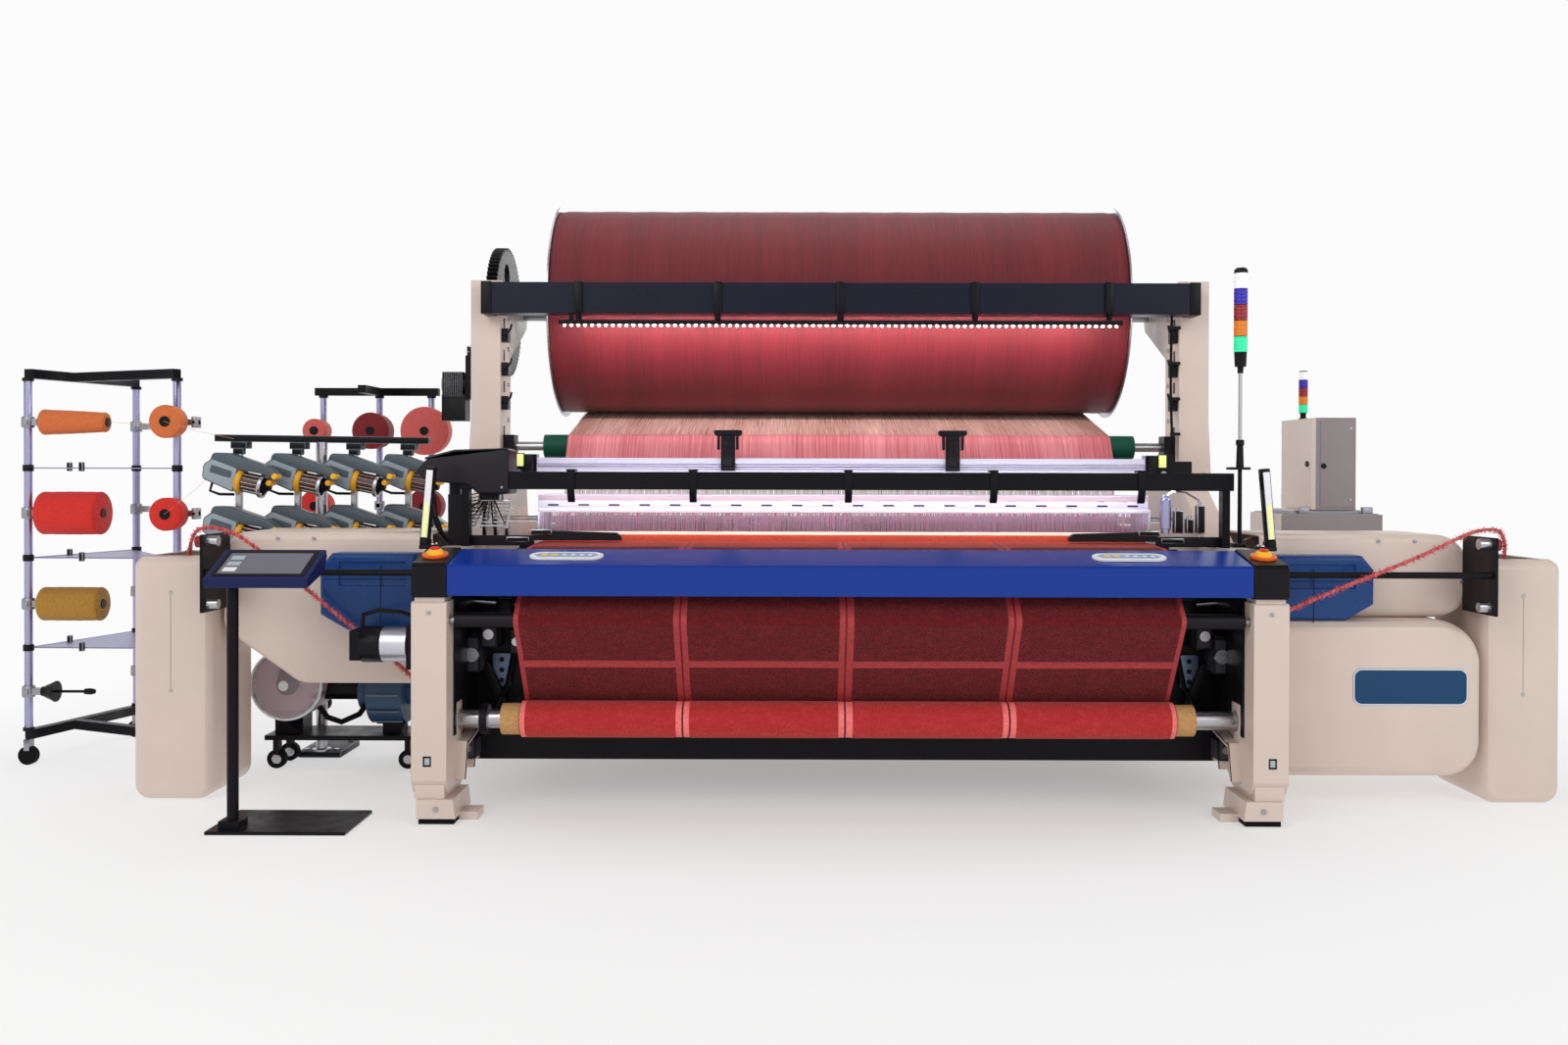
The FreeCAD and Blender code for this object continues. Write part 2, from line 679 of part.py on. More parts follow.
lean_angle = math.radians(float(pinion_lean))
mesh_distance = float(tooth_module) * (float(gear_teeth) + float(pinion_teeth)) / 2
pinion_y = float(pile_y) - mesh_distance * math.sin(lean_angle)
pinion_z = float(pile_z) - mesh_distance * math.cos(lean_angle)
toward_pinion = math.atan2(pinion_z - float(pile_z), pinion_y - float(pile_y))
node("pile_beam_gear", toothed("pile_beam_gear", int(gear_teeth.number), (float(pile_y), float(pile_z)),
                               toward_pinion, False, float(beam_stub_r)))
pinion_shaft_r = size("pinion_shaft_radius", 18)
pinion = toothed("pinion_teeth_ring", int(pinion_teeth.number), (pinion_y, pinion_z),
                 toward_pinion + math.pi, True, float(pinion_shaft_r) / 2)
pinion_core = Part.makeCylinder(float(pinion_shaft_r), float(gear_thick) + 60,
                                V(-float(gear_inner + gear_thick) - 60, pinion_y, pinion_z), V(1, 0, 0))
node("letoff_pinion", shaped("letoff_pinion", pinion.Shape.fuse(pinion_core).removeSplitter()))


def servo_motors():
    """The take-up drive beside the left leg and the let-off drive behind the left column."""
    leg_face = -frame_outer - cover_wall
    gear_case = box("take_up_case", (leg_face - 50, leg_face), (-710, -601), (540, 700))
    motor = rod("take_up_motor", "x", (leg_face - 218, leg_face - 50), (-655, 627), 65)
    motor_cap = box("take_up_cap", (leg_face - 258, leg_face - 218), (-710, -600), (572, 682))
    plate_out = -column_outer - 10
    bracket = box("let_off_bracket", (plate_out, plate_out + 10), (column_front + 10, 840), (1600, 1800))
    case = box("let_off_case", (plate_out - 80, plate_out), (600, 790), (1600, 1800))
    let_off = rod("let_off_motor", "x", (plate_out - 200, plate_out - 80), (690, 1670), 55)
    foot = box("let_off_box", (plate_out - 200, plate_out - 90), (640, 740), (1500, 1625))
    drilled = cut("let_off_drive", fused("let_off_whole", [bracket, case, let_off, foot]), [
        rod("pinion_bore", "x", (plate_out - 50, plate_out + 11), (pinion_y, pinion_z), pinion_shaft_r + run_gap)])
    return group("servo_motors", [fused("take_up_drive", [gear_case, motor, motor_cap]), drilled])


node("servo_motors", servo_motors())


def roller(name, centre, half, radius, stub_r, reach):
    """A roller with a bearing stub at each end."""
    return stepped(name, centre, [
        (-reach, stub_r), (-half, radius), (half, stub_r), (reach, 0)])


shaft_reach = frame_outer - 12
node("pile_backrest_roller", roller("pile_backrest_roller", (rest_y, rest_z), rest_half, rest_r, rest_stub_r,
                                    column_inner + 60))
node("ground_backrest_roller", roller("ground_backrest_roller", (low_rest_y, low_rest_z), flange_half, low_rest_r,
                                      rest_stub_r, shaft_reach))
node("take_up_roller", roller("take_up_roller", (take_up_y, take_up_z), heald_half, take_up_r, take_up_shaft_r,
                              shaft_reach))
node("cloth_guide_roller", roller("cloth_guide_roller", (guide_y, guide_z), frame_inner - 30, guide_r,
                                  guide_shaft_r, shaft_reach))
node("cloth_roll", turned("cloth_roll", "x", (0, roll_y, roll_z), [
    (-weave_half, core_r), (-weave_half, roll_r), (weave_half, roll_r), (weave_half, core_r)]))
node("cloth_roll_core", turned("cloth_roll_core", "x", (0, roll_y, roll_z), [
    (-core_half, roll_shaft_r), (-core_half, core_r), (core_half, core_r), (core_half, roll_shaft_r)]))
node("cloth_roll_shaft", stepped("cloth_roll_shaft", (roll_y, roll_z), [
    (-shaft_reach, roll_shaft_r), (-core_half - 80, 52), (-core_half - 50, roll_shaft_r), (shaft_reach, 0)]))


def band(name, stops, thick, half):
    """A sheet led over rollers; a stop is (y, z, radius, side), side +1 with the roller on its left."""
    gap = float(run_gap)
    middles = [((float(y), float(z)), side * (float(radius) + gap + thick / 2) if side else 0.0)
               for y, z, radius, side in stops]
    runs = []
    for (start, left), (end, right) in zip(middles, middles[1:]):
        dy, dz = end[0] - start[0], end[1] - start[1]
        heading = math.atan2(dz, dy) - math.asin((right - left) / math.hypot(dy, dz))
        runs.append((start, left, end, right, heading))

    def point(centre, reach, heading):
        return V(0, centre[0] + reach * math.sin(heading), centre[1] - reach * math.cos(heading))

    def side_edges(shift):
        edges = []
        for k, (start, left, end, right, heading) in enumerate(runs):
            edges.append((point(start, left + shift, heading), None, point(end, right + shift, heading)))
            if k + 1 < len(runs):
                onward = heading + math.remainder(runs[k + 1][4] - heading, 2 * math.pi)
                edges.append((point(end, right + shift, heading), point(end, right + shift, (heading + onward) / 2),
                              point(end, right + shift, onward)))
        return edges

    near, far = side_edges(thick / 2), side_edges(-thick / 2)
    chain = near + [(near[-1][2], None, far[-1][2])]
    chain += [(last, mid, first) for first, mid, last in reversed(far)] + [(far[0][0], None, near[0][0])]
    edges = [(Part.Arc(a, m, b) if m else Part.LineSegment(a, b)).toShape() for a, m, b in chain]
    face = Part.Face(Part.Wire(Part.__sortEdges__(edges)))
    sheet_shape = face.extrude(V(2 * float(half), 0, 0))
    sheet_shape.translate(V(-float(half), 0, 0))
    return shaped(name, sheet_shape)


warp_end = reed_y + reed_thick + 9
pile_sheet = band("pile_sheet", [(pile_y, pile_z, pile_wound_r, -1), (rest_y, rest_z, rest_r, 1),
                                 (dip_y, dip_z, dip_r, -1), (warp_end, cloth_line + 4, 0, 0)],
                  float(warp_thick), weave_half)
ground_sheet = band("ground_sheet", [(pile_y, ground_z, ground_wound_r, 1), (low_rest_y, low_rest_z, low_rest_r, 1),
                                     (warp_end, cloth_line - 3, 0, 0)], float(warp_thick), weave_half)
node("warp_sheets", group("warp_sheets", [pile_sheet, ground_sheet]))
node("terry_cloth", band("terry_cloth", [
    (fell, cloth_line, 0, 0), (take_up_y, take_up_z, take_up_r, 1), (guide_y, guide_z, guide_r, 1),
    (roll_y, roll_z, roll_r, -1)], float(cloth_thick), weave_half))


# ---------------------------------------------------------------- heald frames, sley and reed
def heald_frame(name, place):
    """An aluminium frame: two rails, two end stays and a row of slots in the top rail."""
    y = (place - heald_thick / 2, place + heald_thick / 2)
    low = heald_top - heald_tall
    whole = box("heald_blank", (-heald_half, heald_half), y, (low, heald_top))
    wide = (y[0] - 1, y[1] + 1)
    tools = [box("heald_middle", (-heald_half + 25, heald_half - 25), wide, (low + heald_rail, heald_top - heald_rail))]
    if name == "heald_frame_1":
        count = int(2 * (heald_half.number - 60) / heald_slot_pitch.number)
        first = -heald_slot_pitch * count / 2
        for k in range(count + 1):
            middle = first + heald_slot_pitch * k
            tools.append(box("heald_slot", (middle - heald_slot / 2, middle + heald_slot / 2), wide,
                             (heald_top - 26, heald_top - 17)))
    return cut(name, whole, tools)


for k in range(4):
    node(f"heald_frame_{k + 1}", heald_frame(f"heald_frame_{k + 1}", heald_first + k * heald_pitch))

sley_beam = plate("sley_beam", "yz", [
    (reed_y - 22, sley_top - 75), (reed_y + 48, sley_top - 75), (reed_y + 48, sley_top - 20),
    (reed_y + reed_thick, sley_top), (reed_y - 22, sley_top)], (-sley_half, sley_half))
swords = [plate("sley_sword", "yz", [
    (sley_y - 55, sley_z - 30), (sley_y - 20, sley_z - 60), (sley_y + 20, sley_z - 60), (sley_y + 55, sley_z - 30),
    (sley_y + 40, sley_top - 75), (sley_y - 40, sley_top - 75)], (place - 25, place + 25))
    for place in (-1180, -400, 400, 1180)]
sley_shaft = rod("sley_shaft", "x", (-shaft_reach, shaft_reach), (sley_y, sley_z), sley_shaft_r)
node("sley", fused("sley", [sley_beam, sley_shaft] + swords))


def reed():
    """The reed: one wall of dents with its gaps between two baulks."""
    count = int(reed_gaps.number)
    low = float(sley_top)
    span = 2 * float(reed_half)
    pitch = (span - 40) / count
    wall = Part.makeBox(span, float(reed_thick), float(reed_top) - low, V(-span / 2, float(reed_y), low))
    wires = []
    for k in range(count):
        left = -span / 2 + 20 + (k + 0.25) * pitch
        wires.append(Part.makeBox(pitch / 2, float(reed_thick) + 2, float(reed_top) - low - 50,
                                  V(left, float(reed_y) - 1, low + 30)))
    return shaped("reed", wall.cut(Part.makeCompound(wires)))


node("reed", reed())

temple_long = size("temple_long", 345)
temple_low = cloth_line + size("temple_lift", 8)
temple_outer = weave_half + 15
temple_inner = temple_outer - temple_long
temple_front = fell - 83
temple = fused("temple_whole", [
    plate("temple_body", "xz", [
        (temple_inner, temple_low), (temple_outer, temple_low), (temple_outer, temple_low + 26),
        (temple_outer - 35, temple_low + 38), (temple_inner + 20, temple_low + 30), (temple_inner, temple_low + 16)],
          (temple_front, temple_front + 40)),
    box("temple_arm", (temple_outer, frame_inner + 15), (temple_front, temple_front + 25), (deck, temple_low + 19))])
both("temples", temple)

# ---------------------------------------------------------------- rapier drive
def rapier_housing(low):
    """A rapier housing: a hollow case with a slot for the tape and a neck to the side frame."""
    y = (housing_front, housing_front + housing_deep)
    body = plate("housing_case", "xz", [
        (housing_inner, low), (housing_outer - 180, low), (housing_outer, low + 110), (housing_outer, housing_top - 30),
        (housing_outer - 40, housing_top), (housing_inner, housing_top)], y)
    rounded(body, 25, lambda edge: edge.CenterOfMass.y < float(housing_front) + 1
            and edge.CenterOfMass.x > float(housing_inner) + 1)
    wall = housing_wall
    hollow = box("housing_hollow", (housing_inner + wall, housing_outer - 60), (y[0] + 30, y[1] - wall),
                 (drive_top + 20, housing_top - wall))
    slot = box("housing_slot", (housing_inner - 1, housing_inner + wall + 1),
               (rapier_y - rapier_deep / 2 - 5, rapier_y + rapier_deep / 2 + 5), (rapier_low - 5, rapier_low + rapier_tall + 5))
    neck = box("housing_neck", (frame_outer, housing_inner), (-250, -100), (750, 930))
    axle = rod("wheel_axle", "y", (y[0] + 30, y[1] - wall), (wheel_x, wheel_z), axle_r)
    return fused("housing_whole", [cut("housing_shell", body, [hollow, slot]), neck, axle])


wheel_z = rapier_low - 0.5 - wheel_r
axle_r = size("axle_radius", 20)
left_low = size("left_housing_low", 440)
left_housing = mirrored(rapier_housing(left_low))
node("rapier_housings", group("rapier_housings", [left_housing, rapier_housing(drive_top)]))


def rapier_cover(low):
    """The blue front cover of a rapier housing with its recessed top field."""
    inner = housing_inner + 40
    body = plate("blue_cover", "xz", [
        (inner, low), (inner + 260, low), (inner + 365, low + 60), (inner + 365, 900), (inner + 320, 954),
        (inner, 954)], (housing_front - 100, housing_front))
    rounded(body, 18, lambda edge: edge.CenterOfMass.y < float(housing_front) - 99)
    return cut("blue_cover_cut", body, [
        box("blue_recess", (inner + 40, inner + 290), (housing_front - 101, housing_front - 90), (830, 920))])


node("rapier_covers", group("rapier_covers", [mirrored(rapier_cover(660)), rapier_cover(drive_top)]))


def tape_wheel(side):
    """A tape wheel with a rim, a web and a hub on the housing's axle."""
    half, rim, hub, bore = rapier_deep / 2, wheel_r - 15, 45, axle_r + run_gap
    return turned("tape_wheel", "y", (wheel_x * side, rapier_y, wheel_z), [
        (-half, bore), (-half, hub), (-5, hub), (-5, rim), (-half, rim), (-half, wheel_r),
        (half, wheel_r), (half, rim), (5, rim), (5, hub), (half, hub), (half, bore)])


def rapier(side):
    """A rapier head on its tape, reaching back over the tape wheel."""
    y = (rapier_y - rapier_deep / 2, rapier_y + rapier_deep / 2)
    corners = [(rapier_inner, rapier_low), (rapier_inner + rapier_long, rapier_low),
               (rapier_inner + rapier_long, rapier_low + 4), (rapier_inner + 160, rapier_low + 4),
               (rapier_inner + 130, rapier_low + rapier_tall), (rapier_inner + 30, rapier_low + rapier_tall),
               (rapier_inner, rapier_low + 5)]
    return plate("rapier_head", "xz", corners, y)


for side, word in ((-1, "left"), (1, "right")):
    node("rapier_wheel_" + word, tape_wheel(side))
    right_rapier = rapier(side)
    node("rapier_" + word, mirrored(right_rapier) if side < 0 else right_rapier)

drive = plate("drive_case", "xz", [
    (frame_outer, drive_low), (drive_outer - 110, drive_low), (drive_outer, drive_low + 110),
    (drive_outer, drive_top - 130), (drive_outer - 110, drive_top), (frame_outer, drive_top)],
    (drive_front, drive_front + drive_deep))
rounded(drive, 45, lambda edge: edge.CenterOfMass.y < float(drive_front) + 1
        and edge.CenterOfMass.x > float(frame_outer) + 1)
node("drive_housing", drive)

# ---------------------------------------------------------------- selector, waste bins and take-offs
selector_x = (-frame_outer + 2, -frame_outer + 57)
hood_left = selector_x[0] - size("hood_over", 110)
hood_right = hood_left + size("hood_long", 365)
hood_low = size("hood_low", 1176)
hood_r = size("hood_radius", 90)
hood_skin = size("hood_skin", 4)
hood_y = size("hood_place", -320)
crown = hood_low + 92
dome = fused("hood_dome", [rod("hood_round", "x", (hood_left, hood_right), (hood_y, crown), hood_r),
                           box("hood_skirt", (hood_left, hood_right), (hood_y - hood_r, hood_y + hood_r), (hood_low, crown))])
inside = fused("hood_inside", [
    rod("hood_bore", "x", (hood_left + hood_skin, hood_right + 1), (hood_y, crown), hood_r - hood_skin),
    box("hood_void", (hood_left + hood_skin, hood_right + 1), (hood_y - hood_r + hood_skin, hood_y + hood_r - hood_skin),
        (hood_low - 1, crown))])
hood_foot = box("hood_foot", selector_x, (hood_y - hood_r + hood_skin, hood_y + hood_r - hood_skin),
                (hood_low, hood_low + 5))
node("selector_hood", fused("selector_hood", [cut("hood_shell", dome, [inside]), hood_foot]))
selector_parts = [box("selector_box", selector_x, (-345, -245), (1040, hood_low)),
                  box("selector_leg", selector_x, (-345, -310), (deck, 1040))]
selector_parts += [box("selector_finger", (selector_x[1], selector_x[1] + 175), (-340 + 12 * k, -336 + 12 * k), (1050 + 14 * k, 1056 + 14 * k))
                   for k in range(8)]
node("weft_selector", fused("weft_selector", selector_parts))


def waste_bin():
    """A tall rounded waste bin, open at its top, with a recessed line on its front."""
    x = (bin_inner, bin_inner + bin_wide)
    y = (bin_front, bin_front + bin_deep)
    body = plate("bin_body", "xy", [(x[0], y[0]), (x[1], y[0]), (x[1], y[1]), (x[0], y[1])], (0, bin_top))
    rounded(body, 45, along("z"))
    hollow = plate("bin_hollow", "xy", [
        (x[0] + bin_wall, y[0] + bin_wall), (x[1] - bin_wall, y[0] + bin_wall), (x[1] - bin_wall, y[1] - bin_wall),
        (x[0] + bin_wall, y[1] - bin_wall)], (bin_wall, bin_top + 1))
    rounded(hollow, 40, along("z"))
    line = box("bin_line", (x[0] + bin_wide / 2 - 2, x[0] + bin_wide / 2 + 2), (y[0] - 1, y[0] + 2), (380, 740))
    return cut("waste_bin", body, [hollow, line])


both("waste_bins", waste_bin())

rod_y, rod_z = size("take_off_place", -640), size("take_off_height", 890)
bracket_x = housing_outer - 35
take_off = fused("take_off", [
    rod("take_off_rod", "x", (frame_outer + cover_wall, bracket_x), (rod_y, rod_z), 12.5),
    box("take_off_plate", (bracket_x, bracket_x + 12), (rod_y - 25, housing_front), (740, 1030)),
    rod("take_off_roller", "x", (bracket_x - 40, bracket_x), (rod_y + 20, 1005), 20),
    rod("take_off_pulley", "x", (bracket_x + 12, bracket_x + 60), (rod_y + 60, 1000), 22),
    rod("take_off_low", "x", (bracket_x - 40, bracket_x), (rod_y + 20, 770), 18)])
both("waste_takeoffs", take_off)


def limp_tube(name, points, radius):
    """A rope or cable: straight runs joined by tangent arcs; prints its arcs and its length."""
    runs = [(b - a).Length for a, b in zip(points, points[1:])]
    edges, radii, start = [], [], points[0]
    for k in range(1, len(points) - 1):
        before, after = points[k] - points[k - 1], points[k + 1] - points[k]
        turn = before.getAngle(after)
        bend = 0.45 * min(runs[k - 1], runs[k]) / math.tan(turn / 2)
        back = bend * math.tan(turn / 2)
        first = points[k] - before.normalize() * back
        last = points[k] + after.normalize() * back
        inward = (after - before).normalize()
        centre = points[k] + inward * (bend / math.cos(turn / 2))
        edges += [Part.LineSegment(start, first).toShape(),
                  Part.Arc(first, centre - inward * bend, last).toShape()]
        radii.append(round(bend, 1))
        start = last
    edges.append(Part.LineSegment(start, points[-1]).toShape())
    path = Part.Wire(edges)
    round_end = Part.Wire([Part.makeCircle(radius, points[0], edges[0].tangentAt(0))])
    tube = path.makePipeShell([round_end], True, False)
    volume = math.pi * radius * radius * path.Length
    print(f"{name}: length {path.Length:.0f} mm, arcs {radii}, volume ratio {tube.Volume / volume:.3f}")
    return shaped(name, tube)


rope_r = size("rope_radius", 7)
ROPE_RIGHT = [V(1576, -672, 742), V(1768, -668, 826), V(1958, -676, 902), V(2148, -668, 980), V(2336, -632, 1064),
              V(2512, -524, 1052), V(2553, -394, 894)]
ROPE_LEFT = [V(-1568, -568, 430), V(-1712, -574, 562), V(-1866, -566, 682), V(-2016, -573, 806), V(-2166, -566, 932),
             V(-2326, -588, 1056), V(-2512, -518, 1050), V(-2553, -392, 890)]
node("waste_ropes", group("waste_ropes", [limp_tube("rope_right", ROPE_RIGHT, float(rope_r)),
                                          limp_tube("rope_left", ROPE_LEFT, float(rope_r))]))

# ---------------------------------------------------------------- lights, cabinet and terminal
tower_x, tower_y = frame_outer - 6, -320
tower_r = size("tower_radius", 27)
tier = size("tower_tier", 98)
tower_base = size("tower_base", 1420)
tower_low = tower_base + 140
tower = fused("tower", [rod("tower_post", "z", (deck, tower_base), (tower_x, tower_y), 8),
                        rod("tower_foot", "z", (deck, deck + 12), (tower_x, tower_y), 22),
                        rod("tower_socket", "z", (tower_base, tower_low), (tower_x, tower_y), 22)])
tower_tiers = [rod("tower_light", "z", (tower_low + k * tier, tower_low + (k + 1) * tier), (tower_x, tower_y), tower_r)
               for k in range(5)]
tower_cap = rod("tower_cap", "z", (tower_low + 5 * tier, tower_low + 5 * tier + 26), (tower_x, tower_y), tower_r - 2)
curtain_x = frame_outer + 28
curtain = box("light_curtain", (curtain_x - 11, curtain_x + 11), (-585, -545), (beam_top + 30, 1240))
curtain_foot = box("curtain_foot", (curtain_x - 50, curtain_x + 15), (-600, -530), (deck, beam_top + 30))
small_x, small_y = size("small_tower_place", 2300), 1000
small_post = rod("small_post", "z", (1530, 1560), (small_x, small_y), 14)
small_tiers = [rod("small_light", "z", (1560 + 52 * k, 1612 + 52 * k), (small_x, small_y), 22) for k in range(4)]
node("signal_lights", group("signal_lights", [tower, tower_cap, small_post, curtain, mirrored(curtain), curtain_foot,
                                              mirrored(curtain_foot)] + tower_tiers + small_tiers))

cabinet_left = size("cabinet_left", 2280)
door_thick = size("door_thick", 20)
upper = cut("cabinet_upper", box("cabinet_box", (cabinet_left, 2470), (780, 1180), (1090, 1530)), [
    box("cabinet_inside", (cabinet_left - 1, 2455), (800, 1160), (1110, 1510))])
node("control_cabinet", group("control_cabinet", [
    upper, box("cabinet_lower", (2110, 2590), (760, 1200), (0, 1070)),
    box("cabinet_spacer", (2180, 2500), (800, 1160), (1070, 1090))]))
door_face = cabinet_left - 0.5
hinge_y = size("door_hinge_place", 1178)
door = fused("door_whole", [
    box("door_panel", (door_face - door_thick, door_face), (782, hinge_y), (1092, 1528)),
    rod("door_lock", "x", (door_face - door_thick - 8.5, door_face - door_thick), (830, 1310), 14)] + [
    rod("hinge_barrel", "z", (up, up + 40), (door_face - door_thick / 2, hinge_y), door_thick / 2 - 0.1)
    for up in (1120, 1460)])
node("cabinet_door", door)

pole_x, pole_y = -size("pole_place", 2178), -900
node("hmi_stand", fused("hmi_stand", [
    box("stand_plate", (-2250, -1760), (-970, -660), (0, 12)),
    rod("stand_pole", "z", (12, 858), (pole_x, pole_y), 20),
    rod("stand_pin", "z", (858, 878), (pole_x, pole_y), 12),
    box("stand_shoe", (-2215, -2140), (-940, -860), (12, 40))]))
panel = plate("panel_body", "yz", [
    (pole_y - 95, 862), (pole_y + 75, 905), (pole_y + 105, 960), (pole_y + 95, 985), (pole_y - 100, 895)], (-2240, -1880))
hub = rod("panel_hub", "z", (859, 905), (pole_x, pole_y), 30)
node("hmi_panel", cut("hmi_panel", fused("hmi_panel_whole", [panel, hub]), [
    rod("panel_bore", "z", (850, 879), (pole_x, pole_y), 12 + run_gap)]))

# ---------------------------------------------------------------- feeders, creels and packages
def feeder(x, y, up):
    """A weft feeder along X: a sloping housing, its drum and its yarn ring."""
    case = plate("feeder_case", "xz", [
        (x - 60, up - 45), (x + 60, up - 52), (x + 60, up + 52), (x + 200, up + 62), (x + 215, up + 82),
        (x + 40, up + 105), (x - 70, up + 62)], (y - 38, y + 38))
    drum = rod("feeder_drum", "x", (x + 60, x + 190), (y, up), 42)
    ring = rod("feeder_ring", "x", (x + 190, x + 212), (y, up), 50)
    return fused("feeder", [case, drum, ring])


feeder_x = float(aisle) - 970
feeder_pieces = []
for k in range(4):
    x, y = feeder_x + 205 * k, 60 + 125 * k
    feeder_pieces.append(fused("feeder_column", [
        feeder(x, y, 1010), feeder(x, y, 1235), box("feeder_arm", (x + 20, x + 50), (y + 38, y + 62), (1000, 1360)),
        box("feeder_shoe", (x, x + 70), (y + 38, y + 100), (1360, 1390))]))
feeder_pieces.append(fused("feeder_stand", [
    plate("feeder_rail", "xy", [
        (feeder_x - 60, 83), (feeder_x + 720, 559), (feeder_x + 720, 604), (feeder_x - 60, 128)], (1390, 1420)),
    rod("feeder_post", "z", (30, 1390), (feeder_x + 310, 329), 25),
    box("feeder_base", (feeder_x + 215, feeder_x + 405), (296, 560), (0, 30))]))
node("weft_feeders", group("weft_feeders", feeder_pieces))


def creel(name, posts, top, bars, levels):
    """A creel: foot and head frames of square tube, round posts and an arm for each yarn package."""
    parts = []
    for low, high in ((110, 150), (top - 40, top)):
        for (ax, ay), (bx, by) in bars:
            bar = doc.addObject("Part::Box", name + "_bar")
            bar.Length, bar.Width, bar.Height = math.hypot(bx - ax, by - ay), float(tube_wide), high - low
            heading = math.atan2(by - ay, bx - ax)
            side = V(math.sin(heading), -math.cos(heading), 0) * (float(tube_wide) / 2)
            turn = FreeCAD.Rotation(V(0, 0, 1), math.degrees(heading))
            bar.Placement = FreeCAD.Placement(V(ax, ay, low) + side, turn)
            parts.append(bar)
    for x, y, reach_x, reach_y in posts:
        parts.append(rod(name + "_post", "z", (150, top - 40), (x, y), post_r))
        parts += [box(name + "_arm", (x - 14, x + 14 + reach_x), (y - 14 - reach_y, y + 14), (up - 14, up + 14))
                  for up in levels]
        parts.append(box(name + "_fork", (x - 12, x + 12), (y - 20, y + 20), (62, 110)))
        parts.append(rod(name + "_caster", "y", (y - 14, y + 14), (x, caster_r), caster_r))
    return fused(name, parts)


LEVELS = (315, 692, 1082, 1472)
creel_x = float(aisle) - 1860
creel_one = creel("creel_one", [(creel_x, 150, 46, 0), (creel_x + 170, 760, 46, 0), (creel_x + 650, 130, 0, 16)],
                  float(creel_top), [((creel_x, 150), (creel_x + 170, 760)), ((creel_x + 60, 400), (creel_x + 650, 130))],
                  LEVELS)
rear_x = float(aisle) - 760
creel_two = creel("creel_two", [(rear_x - 290, 1480, 0, 16), (rear_x, 1500, 0, 16), (rear_x + 280, 1480, 0, 16)],
                  float(creel_top), [((rear_x - 330, 1480), (rear_x + 320, 1480)), ((rear_x, 1500), (rear_x, 1200))],
                  LEVELS[2:])
node("creel_stands", group("creel_stands", [creel_one, creel_two]))

# Packages lie a running gap off the arms: along X on the first post, along Y on the others
first_x = creel_x + 60 + float(run_gap)
packages = [rod("yarn_cone", "x", (first_x, first_x + 285), (150, 1472), 55, 42.5),
            rod("yarn_package", "x", (first_x, first_x + 265), (150, 1082), 92),
            rod("yarn_package", "x", (first_x, first_x + 265), (150, 692), 72),
            rod("empty_cone", "x", (first_x, first_x + 60), (150, 315), 20, 45)]
packages += [rod("side_package", "y", (10, 100 - run_gap), (creel_x + 650, up), 70) for up in (1472, 1082, 692)]
packages += [rod("rear_package", "y", (1330, post - 30 - run_gap), (rear_x + place, up), radius)
             for place, post, up, radius in ((-290, 1480, 1472, 62), (280, 1480, 1472, 125), (0, 1500, 1472, 95),
                                             (-290, 1480, 1082, 80), (280, 1480, 1082, 90))]
node("yarn_packages", group("yarn_packages", packages))

# ---------------------------------------------------------------- suction unit and cables
suction_x, suction_y, suction_z = -2350, 60, 360
lid_r = size("suction_lid_radius", 152)
wiper_shaft_r = size("wiper_shaft_radius", 8)
drum_body = turned("suction_drum", "y", (suction_x, suction_y, suction_z), [
    (0, lid_r - 12), (0, lid_r), (190, lid_r), (190, 0), (75, 0), (75, wiper_shaft_r + run_gap),
    (45, wiper_shaft_r + run_gap), (45, lid_r - 12)])
clear_lid = turned("clear_lid", "y", (suction_x, suction_y, suction_z), [
    (-30, 0), (-30, lid_r - 50), (0, lid_r), (0, lid_r - 8), (-26, lid_r - 55), (-26, 0)])
blower = turned("blower", "x", (-1860, 180, 320), [
    (-200, 0), (-200, 80), (-150, 80), (-150, 135), (0, 135), (0, 60), (60, 60), (60, 0)])
trolley = box("trolley_plate", (-2440, -1800), (60, 290), (125, 145))
legs = [box("suction_leg", (suction_x - 60, suction_x + 60), (suction_y + 40, suction_y + 150), (145, 240)),
        box("blower_leg", (-1960, -1880), (130, 230), (145, 220))]
duct = rod("suction_duct", "x", (suction_x + 100, -2060), (180, 330), 50)
wheels = []
for x, y in ((-2400, 100), (-1840, 100), (-2400, 250), (-1840, 250)):
    wheels += [rod("trolley_wheel", "y", (y - 14, y + 14), (x, caster_r), caster_r),
               box("trolley_fork", (x - 12, x + 12), (y - 20, y + 20), (62, 125))]
node("suction_unit", group("suction_unit", [clear_lid, fused("suction_body", [drum_body, blower, trolley, duct]
                                                                         + legs + wheels)]))
wiper_y = (suction_y + 12, suction_y + 30)
node("suction_wiper", fused("suction_wiper", [
    rod("wiper_shaft", "y", (wiper_y[1], suction_y + 70), (suction_x, suction_z), wiper_shaft_r),
    rod("wiper_disc", "y", wiper_y, (suction_x, suction_z), 46),
    plate("wiper_blade", "xz", [
        (suction_x - 40, suction_z + 22), (suction_x + 40, suction_z + 22), (suction_x + 12, suction_z + 118),
        (suction_x - 12, suction_z + 118)], wiper_y)]))

cable_r = size("cable_radius", 9)
CABLE_COLUMN = [V(1458, 300, 1952.5), V(1456, 310, 1710), V(1460, 305, 1470), V(1467, 292, 1330), V(1477, 288, 1201)]
node("cables", limp_tube("column_cable", CABLE_COLUMN, float(cable_r)))

